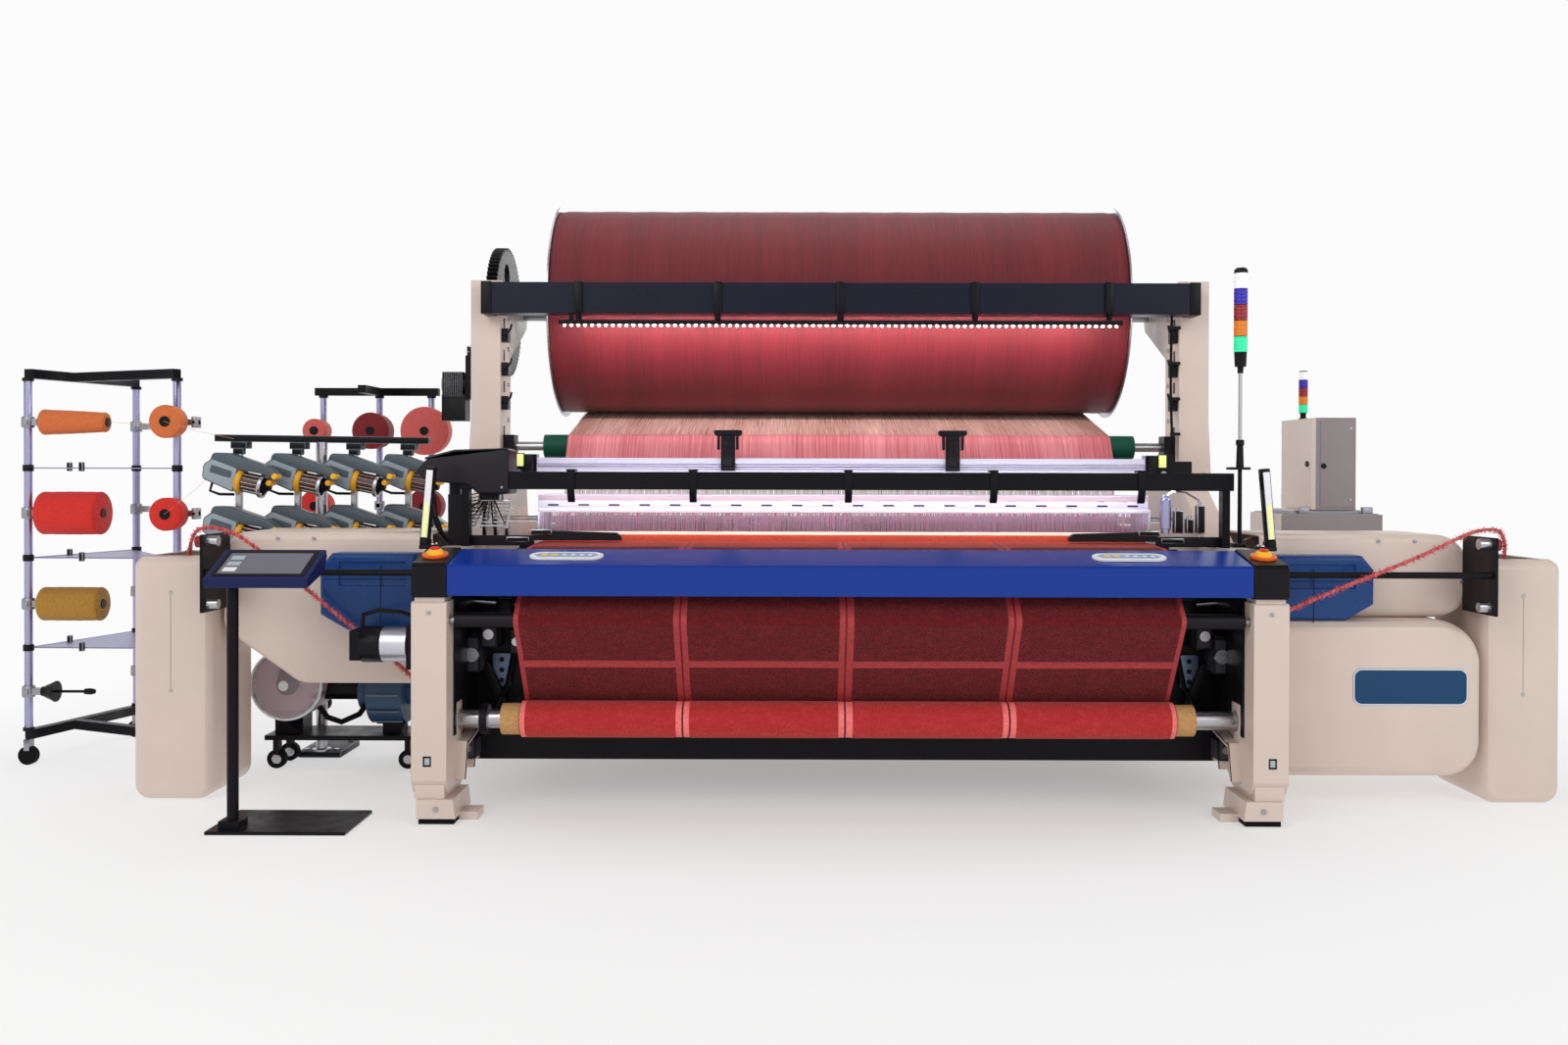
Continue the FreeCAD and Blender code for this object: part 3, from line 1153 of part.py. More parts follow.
# ---------------------------------------------------------------- build and write
doc.recompute()
for thing in doc.Objects:
    if "Invalid" in thing.State or "Error" in thing.State:
        raise RuntimeError(f"{thing.Name} ({thing.Label}) failed: {thing.State}")
for name, piece in nodes.items():
    if piece.Shape.isNull() or not piece.Shape.isValid() or not piece.Shape.Solids:
        raise RuntimeError(f"{name} has no valid solid")
os.makedirs("parts", exist_ok=True)
for name, piece in nodes.items():
    piece.Shape.exportStep(f"parts/{name}.step")
print(f"{len(nodes)} nodes, {sum(len(piece.Shape.Solids) for piece in nodes.values())} solids")
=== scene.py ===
"""Looks of a terry weaving machine: finishes, yarn, towels, lamps and small parts round its fixed frame.

Metres. X runs along the reed to the right, Y from the weaver to the warp beams, Z up.
"""
import json
import math
import random

import bmesh
import bpy
from bpy.props import FloatProperty, FloatVectorProperty, PointerProperty
from mathutils import Matrix, Vector
from mathutils import noise as field

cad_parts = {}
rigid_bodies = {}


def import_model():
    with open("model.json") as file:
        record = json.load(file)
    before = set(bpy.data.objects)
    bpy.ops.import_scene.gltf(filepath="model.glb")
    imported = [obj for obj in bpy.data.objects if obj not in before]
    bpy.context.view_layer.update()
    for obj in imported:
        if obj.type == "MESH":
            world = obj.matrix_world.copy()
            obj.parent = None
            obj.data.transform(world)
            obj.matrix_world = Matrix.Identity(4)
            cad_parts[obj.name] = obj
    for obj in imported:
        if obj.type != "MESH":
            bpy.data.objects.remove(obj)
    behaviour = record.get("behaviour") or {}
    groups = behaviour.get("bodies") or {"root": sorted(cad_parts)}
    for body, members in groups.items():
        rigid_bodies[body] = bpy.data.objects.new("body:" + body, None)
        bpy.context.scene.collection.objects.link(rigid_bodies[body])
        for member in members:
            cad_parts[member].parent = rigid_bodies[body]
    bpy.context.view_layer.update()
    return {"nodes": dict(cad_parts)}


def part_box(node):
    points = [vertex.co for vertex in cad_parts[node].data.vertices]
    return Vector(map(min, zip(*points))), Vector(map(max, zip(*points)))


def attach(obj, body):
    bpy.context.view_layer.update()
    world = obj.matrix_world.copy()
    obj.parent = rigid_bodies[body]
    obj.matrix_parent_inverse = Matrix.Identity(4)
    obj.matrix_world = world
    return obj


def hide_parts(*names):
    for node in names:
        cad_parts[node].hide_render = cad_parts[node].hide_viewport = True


bl_info = {
    "name": "Weaving machine looks",
    "version": (1, 0, 0),
    "blender": (4, 5, 0),
    "location": "View3D > Sidebar > Loom",
    "description": "Builds the finishes, yarn, towels and small parts of a terry weaving machine",
    "category": "Object",
}

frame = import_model()
NODES = frame["nodes"]


# ---- nodes and materials
def tint(code):
    """An sRGB hex colour as the linear colour that a shader takes."""
    channels = [int(code[k:k + 2], 16) / 255 for k in (0, 2, 4)]
    linear = [c / 12.92 if c <= 0.04045 else ((c + 0.055) / 1.055) ** 2.4 for c in channels]
    return (*linear, 1.0)


def add(tree, kind, inputs=None, **settings):
    """Add one node: its settings, and its inputs as plain values or as other nodes' outputs."""
    node = tree.nodes.new(kind)
    for name, value in settings.items():
        setattr(node, name, value)
    for name, value in (inputs or {}).items():
        if isinstance(value, bpy.types.NodeSocket):
            tree.links.new(value, node.inputs[name])
        else:
            node.inputs[name].default_value = value
    return node


def surface(name, code, **inputs):
    """A new material with one Principled shader: (material, its tree, the shader, Object coordinates)."""
    material = bpy.data.materials.new(name)
    material.use_nodes = True
    tree = material.node_tree
    tree.nodes.clear()
    values = {word.replace("_", " "): value for word, value in inputs.items()}
    shader = add(tree, "ShaderNodeBsdfPrincipled", {"Base Color": tint(code), **values})
    add(tree, "ShaderNodeOutputMaterial", {"Surface": shader.outputs[0]})
    place = add(tree, "ShaderNodeTexCoord").outputs["Object"]
    return material, tree, shader, place


def scaled(tree, place, scale, turn=(0, 0, 0)):
    """Coordinates turned, then scaled apart along the three axes."""
    return add(tree, "ShaderNodeMapping", {"Vector": place, "Scale": scale, "Rotation": turn}).outputs[0]


def noise(tree, place, scale, detail=2.0, roughness=0.5):
    """The value of a noise texture whose features are about 1 / scale metres wide."""
    inputs = {"Vector": place, "Scale": scale, "Detail": detail, "Roughness": roughness}
    return add(tree, "ShaderNodeTexNoise", inputs).outputs["Fac"]


def ramp(tree, value, stops):
    """A colour ramp of (place, hex colour) stops."""
    node = add(tree, "ShaderNodeValToRGB", {0: value})
    while len(node.color_ramp.elements) < len(stops):
        node.color_ramp.elements.new(0.5)
    for element, (at, code) in zip(node.color_ramp.elements, stops):
        element.position = at
        element.color = tint(code)
    return node.outputs[0]


def spread(tree, value, low, high, new_low=0.0, new_high=1.0):
    """A value's range moved to another one, and clamped there."""
    return add(tree, "ShaderNodeMapRange", {0: value, 1: low, 2: high, 3: new_low, 4: new_high}).outputs[0]


def reckon(tree, operation, first, second=0.0):
    """One sum of two values."""
    return add(tree, "ShaderNodeMath", {0: first, 1: second}, operation=operation).outputs[0]


def raised(tree, shader, height, depth, under=None):
    """Let a height raise the shader's surface by up to a depth in metres."""
    inputs = {"Height": height, "Distance": depth, "Strength": 1.0}
    if under:
        inputs["Normal"] = under
    bump = add(tree, "ShaderNodeBump", inputs)
    tree.links.new(bump.outputs[0], shader.inputs["Normal"])


def enamel(name, code, roughness=0.38, grain=380, depth=0.00012, shade=0.07, gloss=0.45, worn_edge=0.0):
    """Stoved enamel: even colour, a faint orange peel that breaks up its soft highlights, slight soiling."""
    material, tree, shader, place = surface(name, code, Roughness=roughness, Specular_IOR_Level=gloss)
    soil = spread(tree, noise(tree, place, 2.2, 4, 0.6), 0.35, 0.7, 1.0 - shade, 1.0)
    mixed = add(tree, "ShaderNodeMix", {0: 1.0, 6: tint(code)}, data_type="RGBA", blend_type="MULTIPLY")
    grey = add(tree, "ShaderNodeCombineColor", {0: soil, 1: soil, 2: soil})
    tree.links.new(grey.outputs[0], mixed.inputs[7])
    tree.links.new(mixed.outputs[2], shader.inputs["Base Color"])
    if shade:
        wear = spread(tree, noise(tree, place, 14, 3), 0.3, 0.7, roughness - 0.06, roughness + 0.08)
        tree.links.new(wear, shader.inputs["Roughness"])
    edge = add(tree, "ShaderNodeBevel", {"Radius": worn_edge}, samples=3).outputs[0] if worn_edge else None
    if depth:
        raised(tree, shader, noise(tree, place, grain, 1), depth, edge)
    return material


def brushed(name, code, roughness=0.3, along=(1, 60, 60), metallic=1.0):
    """Drawn or ground metal: fine streaks along its length stretch the highlights."""
    material, tree, shader, place = surface(name, code, Roughness=roughness, Metallic=metallic)
    streak = noise(tree, scaled(tree, place, along), 18, 3)
    tree.links.new(spread(tree, streak, 0.3, 0.7, roughness - 0.1, roughness + 0.15),
        shader.inputs["Roughness"])
    raised(tree, shader, streak, 0.00008)
    return material


def moulded(name, code, roughness=0.5, grain=900, gloss=0.4):
    """Moulded plastic: even colour with a fine spark-eroded grain."""
    material, tree, shader, place = surface(name, code, Roughness=roughness, Specular_IOR_Level=gloss)
    raised(tree, shader, noise(tree, place, grain, 2), 0.00015)
    tree.links.new(spread(tree, noise(tree, place, 9), 0.3, 0.7, roughness - 0.05, roughness + 0.07),
        shader.inputs["Roughness"])
    return material


def wound_yarn(name, dark, light, pitch):
    """Warp wound on a beam: yarns side by side, each with its own shade, so the face shows fine streaks.

    The yarns are drawn at about three times their real spacing, which would be too fine to show.
    """
    material, tree, shader, place = surface(name, dark, Roughness=0.62, Specular_IOR_Level=0.35)
    shader.inputs["Sheen Weight"].default_value = 0.08
    laid = scaled(tree, place, (1.0, 0.015, 0.015))
    streaks = noise(tree, laid, 1 / pitch, 2, 0.6)
    broad = noise(tree, laid, 9, 3, 0.55)
    both = reckon(tree, "ADD", reckon(tree, "MULTIPLY", streaks, 0.62), reckon(tree, "MULTIPLY", broad, 0.38))
    tree.links.new(ramp(tree, both, [(0.34, dark), (0.66, light)]), shader.inputs["Base Color"])
    raised(tree, shader, streaks, 0.0009)
    return material


def package_yarn(name, dark, light):
    """Cross-wound yarn package: two crossing sets of lines make fine diamonds, matt cotton between them."""
    material, tree, shader, place = surface(name, dark, Roughness=0.75, Specular_IOR_Level=0.25)
    shader.inputs["Sheen Weight"].default_value = 0.1
    first = noise(tree, scaled(tree, place, (150, 20, 20), (0, 0.3, 0.5)), 4, 2)
    second = noise(tree, scaled(tree, place, (150, 20, 20), (0, -0.3, -0.5)), 4, 2)
    cross = reckon(tree, "MAXIMUM", first, second)
    tree.links.new(ramp(tree, cross, [(0.3, dark), (0.8, light)]), shader.inputs["Base Color"])
    raised(tree, shader, cross, 0.0007)
    return material


def terry(name, dark, light, loops=0.0038, depth=0.0024):
    """Terry pile: upright cotton loops a few millimetres apart, with painted light on their tops and painted
    shade between them.
    """
    material, tree, shader, place = surface(name, dark, Roughness=0.88, Specular_IOR_Level=0.15)
    shader.inputs["Sheen Weight"].default_value = 0.12
    shader.inputs["Sheen Roughness"].default_value = 0.4
    tuft = add(tree, "ShaderNodeTexVoronoi", {"Vector": place, "Scale": 1 / loops}).outputs["Distance"]
    broad = noise(tree, scaled(tree, place, (1, 2.5, 2.5)), 26, 4, 0.6)
    # Painted light on the loop tops and painted shade between the loops, mixed with a broad random tone.
    loop_shade_and_tone = reckon(tree, "ADD", reckon(tree, "MULTIPLY", spread(tree, tuft, 0.0, 0.6, 1.0, 0.0), 0.45),
        reckon(tree, "MULTIPLY", broad, 0.55))
    tree.links.new(ramp(tree, loop_shade_and_tone, [(0.3, dark), (0.72, light)]), shader.inputs["Base Color"])
    raised(tree, shader, spread(tree, tuft, 0.0, 0.6, 1.0, 0.0), depth)
    return material


def flat_weave(name, dark, light):
    """Flat woven border: tight cotton ribs with a slight lustre, paler than the pile beside them."""
    material, tree, shader, place = surface(name, dark, Roughness=0.6, Specular_IOR_Level=0.3)
    rib = noise(tree, scaled(tree, place, (1, 9, 9)), 60, 2)
    tree.links.new(ramp(tree, rib, [(0.3, dark), (0.7, light)]), shader.inputs["Base Color"])
    raised(tree, shader, rib, 0.0006)
    return material


def glowing(name, code, strength):
    """A lit lens: coloured plastic with its lamp behind it."""
    material, _, shader, _ = surface(name, code, Roughness=0.3)
    shader.inputs["Emission Color"].default_value = tint(code)
    shader.inputs["Emission Strength"].default_value = strength
    return material


def clear_plastic(name, code):
    """Clear blown acrylic: see-through, with sharp reflections at its rim."""
    material, _, shader, _ = surface(name, code, Roughness=0.08, IOR=1.49, Alpha=0.16)
    shader.inputs["Coat Weight"].default_value = 0.6
    return material


def cardboard(name):
    """Spiral wound cardboard: matt brown paper with fine fibre streaks."""
    material, tree, shader, place = surface(name, "B98A58", Roughness=0.85, Specular_IOR_Level=0.2)
    fibre = noise(tree, scaled(tree, place, (8, 40, 40)), 12, 4)
    tree.links.new(ramp(tree, fibre, [(0.3, "A87A48"), (0.7, "D2A672")]), shader.inputs["Base Color"])
    raised(tree, shader, fibre, 0.0003)
    return material


def strand_cotton(name, dark, light):
    """Single cotton ends: soft and matt, each end a little paler or darker than the next."""
    material, tree, shader, place = surface(name, dark, Roughness=0.85, Specular_IOR_Level=0.2)
    shader.inputs["Sheen Weight"].default_value = 0.1
    ends = noise(tree, scaled(tree, place, (1, 0.03, 0.03)), 190, 2, 0.7)
    tree.links.new(ramp(tree, ends, [(0.35, dark), (0.65, light)]), shader.inputs["Base Color"])
    return material


class Finishes(dict):
    """Every finish of the machine, each made when it is first asked for."""

    RECIPES = {
        "beige_enamel": (enamel, "D8C6BB", 0.36, 380, 0.00012, 0.07, 0.45, 0.003),
        "black_coat": (enamel, "100E13", 0.36, 700, 0.00008, 0.2, 0.13),
        "black_plastic": (moulded, "0F0D12", 0.34, 900, 0.16),
        "black_rubber": (moulded, "0C0B0E", 0.7, 400, 0.12),
        "beam_blue": (enamel, "07328C", 0.24, 500, 0.0, 0.0, 0.25),
        "cover_blue": (enamel, "143E7A", 0.3, 380, 0.0, 0.03, 0.3),
        "navy_coat": (enamel, "15172A", 0.32, 600, 0.00006, 0.1, 0.16),
        "grey_coat": (enamel, "B7B2AC", 0.5, 900, 0.0002),
        "aluminium": (brushed, "C9C8D2", 0.32),
        "steel": (brushed, "B5B4B8", 0.26),
        "steel_upright": (brushed, "C4A4B6", 0.34, (60, 60, 1), 0.5),
        "blackened_steel": (brushed, "1A181D", 0.42, (60, 6, 6), 0.7),
        "zinc": (brushed, "9C9DA3", 0.4, (30, 30, 30)),
        "hood_plastic": (moulded, "1A171D", 0.36, 900, 0.25),
        "white_plastic": (moulded, "E9E9EC", 0.35),
        "grey_plastic": (moulded, "7E8A92", 0.42),
        "pale_grey_plastic": (moulded, "A9B3BC", 0.42),
        "stop_yellow": (moulded, "F7B91B", 0.35),
        "stop_orange": (moulded, "E9641C", 0.35),
        "stop_red": (moulded, "D8302A", 0.25),
        "key_blue": (moulded, "8FA6C4", 0.45),
        "key_yellow": (moulded, "E9C53A", 0.4),
        "terminal_blue": (moulded, "101A4A", 0.34, 900, 0.2),
        "screen": (moulded, "6F6E78", 0.12),
        "badge_blue": (enamel, "0F4066", 0.3, 500, 0.0, 0.0, 0.25),
        "pale_line": (moulded, "DDE3E8", 0.35),
        "green_rubber": (moulded, "0B4A3A", 0.5, 500, 0.2),
        "cardboard": (cardboard,),
        "pile_warp": (wound_yarn, "58121B", "741C26", 0.0035),
        "ground_warp": (wound_yarn, "7A1B26", "9A303A", 0.0035),
        "warp_strand": (strand_cotton, "5E1C20", "B8746C"),
        "ground_strand": (strand_cotton, "6E2A2E", "B67A72"),
        # The towels' pile and border finishes come in copies: darker ones for the web are painted shade,
        # lighter ones for the roll are painted light.
        "terry_pile": (terry, "5C141A", "93262B"),
        "terry_roll": (terry, "B42C2F", "E0504E"),
        "terry_border": (flat_weave, "8E2A30", "B84446"),
        "waste_cotton": (strand_cotton, "A82630", "DE7C7C"),
        "rest_warp": (wound_yarn, "B8545C", "EE9AA0", 0.004),
        # Far paler copy of the pile warp for the sheet under the LED strip: painted light.
        "led_warp": (wound_yarn, "A06A5C", "F2CEC2", 0.0045),
        "aluminium_pale": (brushed, "D6D3E6", 0.36, (1, 60, 60), 0.4),
        "cream_plastic": (moulded, "E9DCC4", 0.45),
        "seam_shadow": (strand_cotton, "5A1216", "7A2024"),
        # Lighter copy of the towel border for the roll: painted light.
        "border_roll": (flat_weave, "E05C5C", "FF8A86"),
        "cabinet_enamel": (enamel, "D2C4BB", 0.5, 900, 0.0002),
        "silver_paint": (brushed, "A7A4C6", 0.36, (60, 60, 1)),
        "strand_orange": (strand_cotton, "B86A50", "E8B49A"),
        "stop_red_dark": (moulded, "8E1A1E", 0.4),
        "dark_drum": (moulded, "B09AA4", 0.4),
        "led_white": (glowing, "FFF6F2", 9.0),
        "lamp_green": (glowing, "1FBF86", 0.7),
        "lamp_orange": (glowing, "D8780E", 0.1),
        "lamp_red": (glowing, "8E1420", 0.06),
        "lamp_blue": (glowing, "2A1FA6", 0.1),
        "lamp_white": (glowing, "F2F2F4", 0.15),
        "curtain_lime": (glowing, "E6EE8E", 0.25),
        "clear_lid": (clear_plastic, "EAD8E2"),
        "motor_blue": (enamel, "2B4A6A", 0.5, 300, 0.0002, 0.15),
        "heald_wire": (brushed, "D096AE", 0.4, (60, 60, 1), 0.3),
        "fell_red": (flat_weave, "B23A28", "D65438"),
        "feeder_shell": (moulded, "48555E", 0.34),
        "feeder_motor": (moulded, "93A0AA", 0.36),
        "ring_yellow": (moulded, "E0A016", 0.34),
        "drum_brown": (moulded, "4A2A20", 0.3),
        # Darker grey for the cabinet's front side: painted shade.
        "cabinet_front": (enamel, "8E8588", 0.5, 900, 0.0002),
        "cast_grey": (enamel, "3A383E", 0.5, 300, 0.0003, 0.2, 0.25),
        "plate_blue_grey": (brushed, "5E6A80", 0.4),
        # Brighter orange copy of the pile for the web's top run: painted light.
        "terry_fell": (terry, "A62C1C", "DC5A3E"),
        "rail_lilac": (brushed, "BBA4AA", 0.4, (1, 60, 60), 0.2),
        "yarn_orange": (package_yarn, "BE5A2A", "D87A44"),
        "yarn_red": (package_yarn, "BE1812", "DC3A32"),
        "yarn_gold": (package_yarn, "8A611C", "BE8F40"),
        "yarn_maroon": (package_yarn, "6A161E", "8E2830"),
        "yarn_rose": (package_yarn, "BE4844", "DC706A"),
    }

    def __missing__(self, name):
        maker, *numbers = self.RECIPES[name]
        self[name] = maker(name, *numbers)
        return self[name]


FINISH = Finishes()


# ---- meshes
def mesh_from(build):
    """A mesh made by a function that fills a bmesh."""
    shape = bmesh.new()
    build(shape)
    return meshed(shape)


def meshed(shape):
    """A filled bmesh as a mesh."""
    mesh = bpy.data.meshes.new("mesh")
    shape.to_mesh(mesh)
    shape.free()
    return mesh


def link(thing):
    """Put an object in the scene."""
    bpy.context.scene.collection.objects.link(thing)
    return thing


def piece(name, mesh, finishes, stands_for=(), smooth=35, body="root"):
    """Make a mesh a piece of the machine: its finishes, its body and the nodes it stands for."""
    mesh = mesh_from(mesh) if callable(mesh) else mesh
    thing = link(bpy.data.objects.new(name, mesh))
    if not mesh.materials:
        for finish_name in finishes:
            mesh.materials.append(FINISH[finish_name])
    mesh.shade_smooth()
    mesh.set_sharp_from_angle(angle=math.radians(smooth))
    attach(thing, body)
    for node_name in stands_for:
        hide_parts(node_name)
    return thing


def eased(thing, radius):
    """Round a piece's sharp edges with a Bevel modifier."""
    bevel = thing.modifiers.new("eased_edges", "BEVEL")
    bevel.width = radius
    bevel.segments = 2
    bevel.limit_method = "ANGLE"
    bevel.angle_limit = math.radians(40)
    bevel.harden_normals = True
    return thing


TURNS = {
    "x": Matrix.Identity(3), "y": Matrix.Rotation(math.pi / 2, 3, "Z"),
         "z": Matrix.Rotation(-math.pi / 2, 3, "Y")}


def lathe(shape, axis, centre, profile, material=0, steps=48, closed=False):
    """Turn (along, radius) points about an axis through the centre; the profile runs with the axis."""
    turn, centre = TURNS[axis], Vector(centre)
    rings = []
    for along, radius in profile:
        if radius < 1e-6:
            rings.append([shape.verts.new(centre + turn @ Vector((along, 0, 0)))])
            continue
        angles = [2 * math.pi * k / steps for k in range(steps)]
        rings.append([shape.verts.new(centre + turn @ Vector((along, radius * math.cos(a),
            radius * math.sin(a)))) for a in angles])
    for first, second in list(zip(rings, rings[1:])) + ([(rings[-1], rings[0])] if closed else []):
        for k in range(steps):
            onward = (k + 1) % steps
            if len(first) == 1 and len(second) == 1:
                break
            if len(first) == 1:
                corners = (first[0], second[onward], second[k])
            elif len(second) == 1:
                corners = (first[k], first[onward], second[0])
            else:
                corners = (first[k], first[onward], second[onward], second[k])
            shape.faces.new(corners).material_index = material


def turned(shape, axis, centre, points, material=0, steps=48):
    """A solid turned part: its (along, radius) points, closed by a flat face at both ends."""
    lathe(shape, axis, centre, [(points[0][0], 0), *points, (points[-1][0], 0)], material, steps)


def block(shape, x, y, z, material=0, ease=0.0, matrix=None):
    """A block with eased edges, each side given by its two limits."""
    limits = [sorted(pair) for pair in (x, y, z)]
    made = bmesh.ops.create_cube(shape, size=1.0)["verts"]
    for vert in made:
        vert.co = [low + (vert.co[k] + 0.5) * (high - low) for k, (low, high) in enumerate(limits)]
    faces = list(dict.fromkeys(face for vert in made for face in vert.link_faces))
    for face in faces:
        face.material_index = material
    if ease:
        edges = list(dict.fromkeys(edge for face in faces for edge in face.edges))
        done = bmesh.ops.bevel(shape, geom=edges, offset=ease, segments=2, affect="EDGES", profile=0.5)
        made = list({vert for face in done["faces"] for vert in face.verts} | {v for v in made if v.is_valid})
    if matrix:
        bmesh.ops.transform(shape, matrix=matrix, verts=made)


def blocks(shape, rows):
    """Blocks, each from its low and high x, y and z, then what else block takes."""
    for low_x, high_x, low_y, high_y, low_z, high_z, *others in rows:
        block(shape, (low_x, high_x), (low_y, high_y), (low_z, high_z), *others)


def sweep(shape, points, radius, material=0, sides=8):
    """A tube along points; the radius is one number, or one for each point."""
    points = [Vector(p) for p in points]
    radii = radius if isinstance(radius, (list, tuple)) else [radius] * len(points)
    ahead = (points[1] - points[0]).normalized()
    across = ahead.orthogonal().normalized()
    rings = []
    for k, point in enumerate(points):
        now = (points[min(k + 1, len(points) - 1)] - points[max(k - 1, 0)]).normalized()
        across = ahead.rotation_difference(now) @ across
        across = (across - now * across.dot(now)).normalized()
        ahead, other = now, now.cross(across)
        angles = [2 * math.pi * s / sides for s in range(sides)]
        rings.append([shape.verts.new(point + radii[k] * (math.cos(a) * across + math.sin(a) * other))
            for a in angles])
    for first, second in zip(rings, rings[1:]):
        for s in range(sides):
            onward = (s + 1) % sides
            corners = (first[s], first[onward], second[onward], second[s])
            shape.faces.new(corners).material_index = material
    shape.faces.new(list(reversed(rings[0]))).material_index = material
    shape.faces.new(rings[-1]).material_index = material


def slab(shape, plane, corners, span, material=0, ease=0.0):
    """An outline in the xz, yz or xy plane, drawn out over a span of the third axis."""
    order = {"xz": (0, 2, 1), "yz": (1, 2, 0), "xy": (0, 1, 2)}[plane]
    layers = []
    for depth in span:
        ring = []
        for first, second in corners:
            place = [0.0, 0.0, 0.0]
            place[order[0]], place[order[1]], place[order[2]] = first, second, depth
            ring.append(shape.verts.new(place))
        layers.append(ring)
    faces = [shape.faces.new(layers[0]), shape.faces.new(layers[1])]
    count = len(corners)
    for k in range(count):
        faces.append(shape.faces.new((layers[0][k], layers[0][(k + 1) % count], layers[1][(k + 1) % count],
            layers[1][k])))
    bmesh.ops.recalc_face_normals(shape, faces=faces)
    for face in faces:
        face.material_index = material
    if ease:
        rims = list(dict.fromkeys(edge for face in faces[:2] for edge in face.edges))
        bmesh.ops.bevel(shape, geom=rims, offset=ease, segments=3, affect="EDGES", profile=0.5,
            clamp_overlap=True)


def round_corners(corners, steps=8):
    """An outline whose (x, y, radius) corners are rounded into arcs."""
    points = []
    count = len(corners)
    for k, (x, y, radius) in enumerate(corners):
        corner = Vector((x, y))
        if not radius:
            points.append(tuple(corner))
            continue
        before = (Vector(corners[k - 1][:2]) - corner).normalized()
        after = (Vector(corners[(k + 1) % count][:2]) - corner).normalized()
        half = before.angle(after) / 2
        centre = corner + (before + after).normalized() * (radius / math.sin(half))
        start = corner + before * (radius / math.tan(half)) - centre
        sweep_angle = start.angle_signed(corner + after * (radius / math.tan(half)) - centre)
        for s in range(steps + 1):
            points.append(tuple(centre + Matrix.Rotation(-sweep_angle * s / steps, 2) @ start))
    return points


def rounded(x, y, radius, steps=8):
    """The outline of a rectangle between two x and two y, with rounded corners."""
    return round_corners([(x[0], y[0], radius), (x[1], y[0], radius), (x[1], y[1], radius),
        (x[0], y[1], radius)], steps)


def copied(node_name, sort):
    """A merged copy of a CAD node's mesh, each face given the number of its finish by its middle."""
    shape = bmesh.new()
    shape.from_mesh(NODES[node_name].data)
    bmesh.ops.remove_doubles(shape, verts=shape.verts, dist=2e-5)
    bmesh.ops.dissolve_limit(shape, angle_limit=math.radians(0.5), verts=shape.verts, edges=shape.edges)
    for face in shape.faces:
        face.material_index = sort(face.calc_center_median(), face.normal)
    return meshed(shape)


def dress(node_name, finishes, sort=None, ease=0.0, body="root"):
    """Replace a CAD node by its own shape with eased edges and a finish for each of its parts."""
    mesh = copied(node_name, sort or (lambda middle, normal: 0))
    thing = piece(node_name + "_finished", mesh, finishes, [node_name], 32, body=body)
    return eased(thing, ease) if ease else thing


def finish(node_name, name):
    """Give a CAD node that keeps its own mesh one finish."""
    data = NODES[node_name].data
    data.materials.clear()
    data.materials.append(FINISH[name])
    data.shade_smooth()
    data.set_sharp_from_angle(angle=math.radians(30))


# ---- what repeats: one Geometry Nodes tree
def row_tree():
    """A tree that repeats an object along a line with a small seeded scatter, realised with one finish."""
    tree = bpy.data.node_groups.new("row_of_parts", "GeometryNodeTree")
    tree.interface.new_socket("Geometry", in_out="OUTPUT", socket_type="NodeSocketGeometry")
    for word, kind in (("Part", "Object"), ("Count", "Int"), ("Start", "Vector"), ("Step", "Vector"),
            ("Scatter", "Vector"), ("Finish", "Material")):
        tree.interface.new_socket(word, in_out="INPUT", socket_type="NodeSocket" + kind)
    given = add(tree, "NodeGroupInput").outputs
    line = add(tree, "GeometryNodeMeshLine", {"Count": given["Count"], "Start Location": given["Start"],
        "Offset": given["Step"]}, mode="OFFSET")
    back = add(tree, "ShaderNodeVectorMath", {0: given["Scatter"], "Scale": -1.0}, operation="SCALE")
    loose = add(tree, "FunctionNodeRandomValue", {"Min": back.outputs[0], "Max": given["Scatter"], "Seed": 11},
        data_type="FLOAT_VECTOR")
    moved = add(tree, "GeometryNodeSetPosition", {"Geometry": line.outputs[0], "Offset": loose.outputs[0]})
    part = add(tree, "GeometryNodeObjectInfo", {"Object": given["Part"]})
    many = add(tree, "GeometryNodeInstanceOnPoints", {"Points": moved.outputs[0],
        "Instance": part.outputs["Geometry"]})
    real = add(tree, "GeometryNodeRealizeInstances", {"Geometry": many.outputs[0]})
    done = add(tree, "GeometryNodeSetMaterial", {"Geometry": real.outputs[0], "Material": given["Finish"]})
    add(tree, "NodeGroupOutput", {0: done.outputs[0]})
    return tree


def row(build, start, step, count, finish_name, scatter=(0, 0, 0)):
    """The mesh of one built part repeated along a line."""
    tree = bpy.data.node_groups.get("row_of_parts") or row_tree()
    part = link(bpy.data.objects.new("row_part", mesh_from(build)))
    holder = link(bpy.data.objects.new("row_holder", bpy.data.meshes.new("row_holder")))
    maker = holder.modifiers.new("row", "NODES")
    maker.node_group = tree
    values = {"Part": part, "Count": count, "Start": start, "Step": step, "Scatter": scatter,
        "Finish": FINISH[finish_name]}
    for item in tree.interface.items_tree:
        if item.in_out == "INPUT":
            maker[item.identifier] = values[item.name]
    bpy.context.view_layer.update()
    seen = holder.evaluated_get(bpy.context.evaluated_depsgraph_get())
    mesh = bpy.data.meshes.new_from_object(seen)
    bpy.data.objects.remove(holder)
    bpy.data.objects.remove(part)
    return mesh


def joined(meshes):
    """Several meshes as one, with their material numbers kept."""
    shape = bmesh.new()
    for mesh in meshes:
        shape.from_mesh(mesh)
    return meshed(shape)


# ---- sizes and colours that a user may change
def length(name, description, default):
    """A size in metres."""
    return FloatProperty(name=name, description=description, default=default, unit="LENGTH")


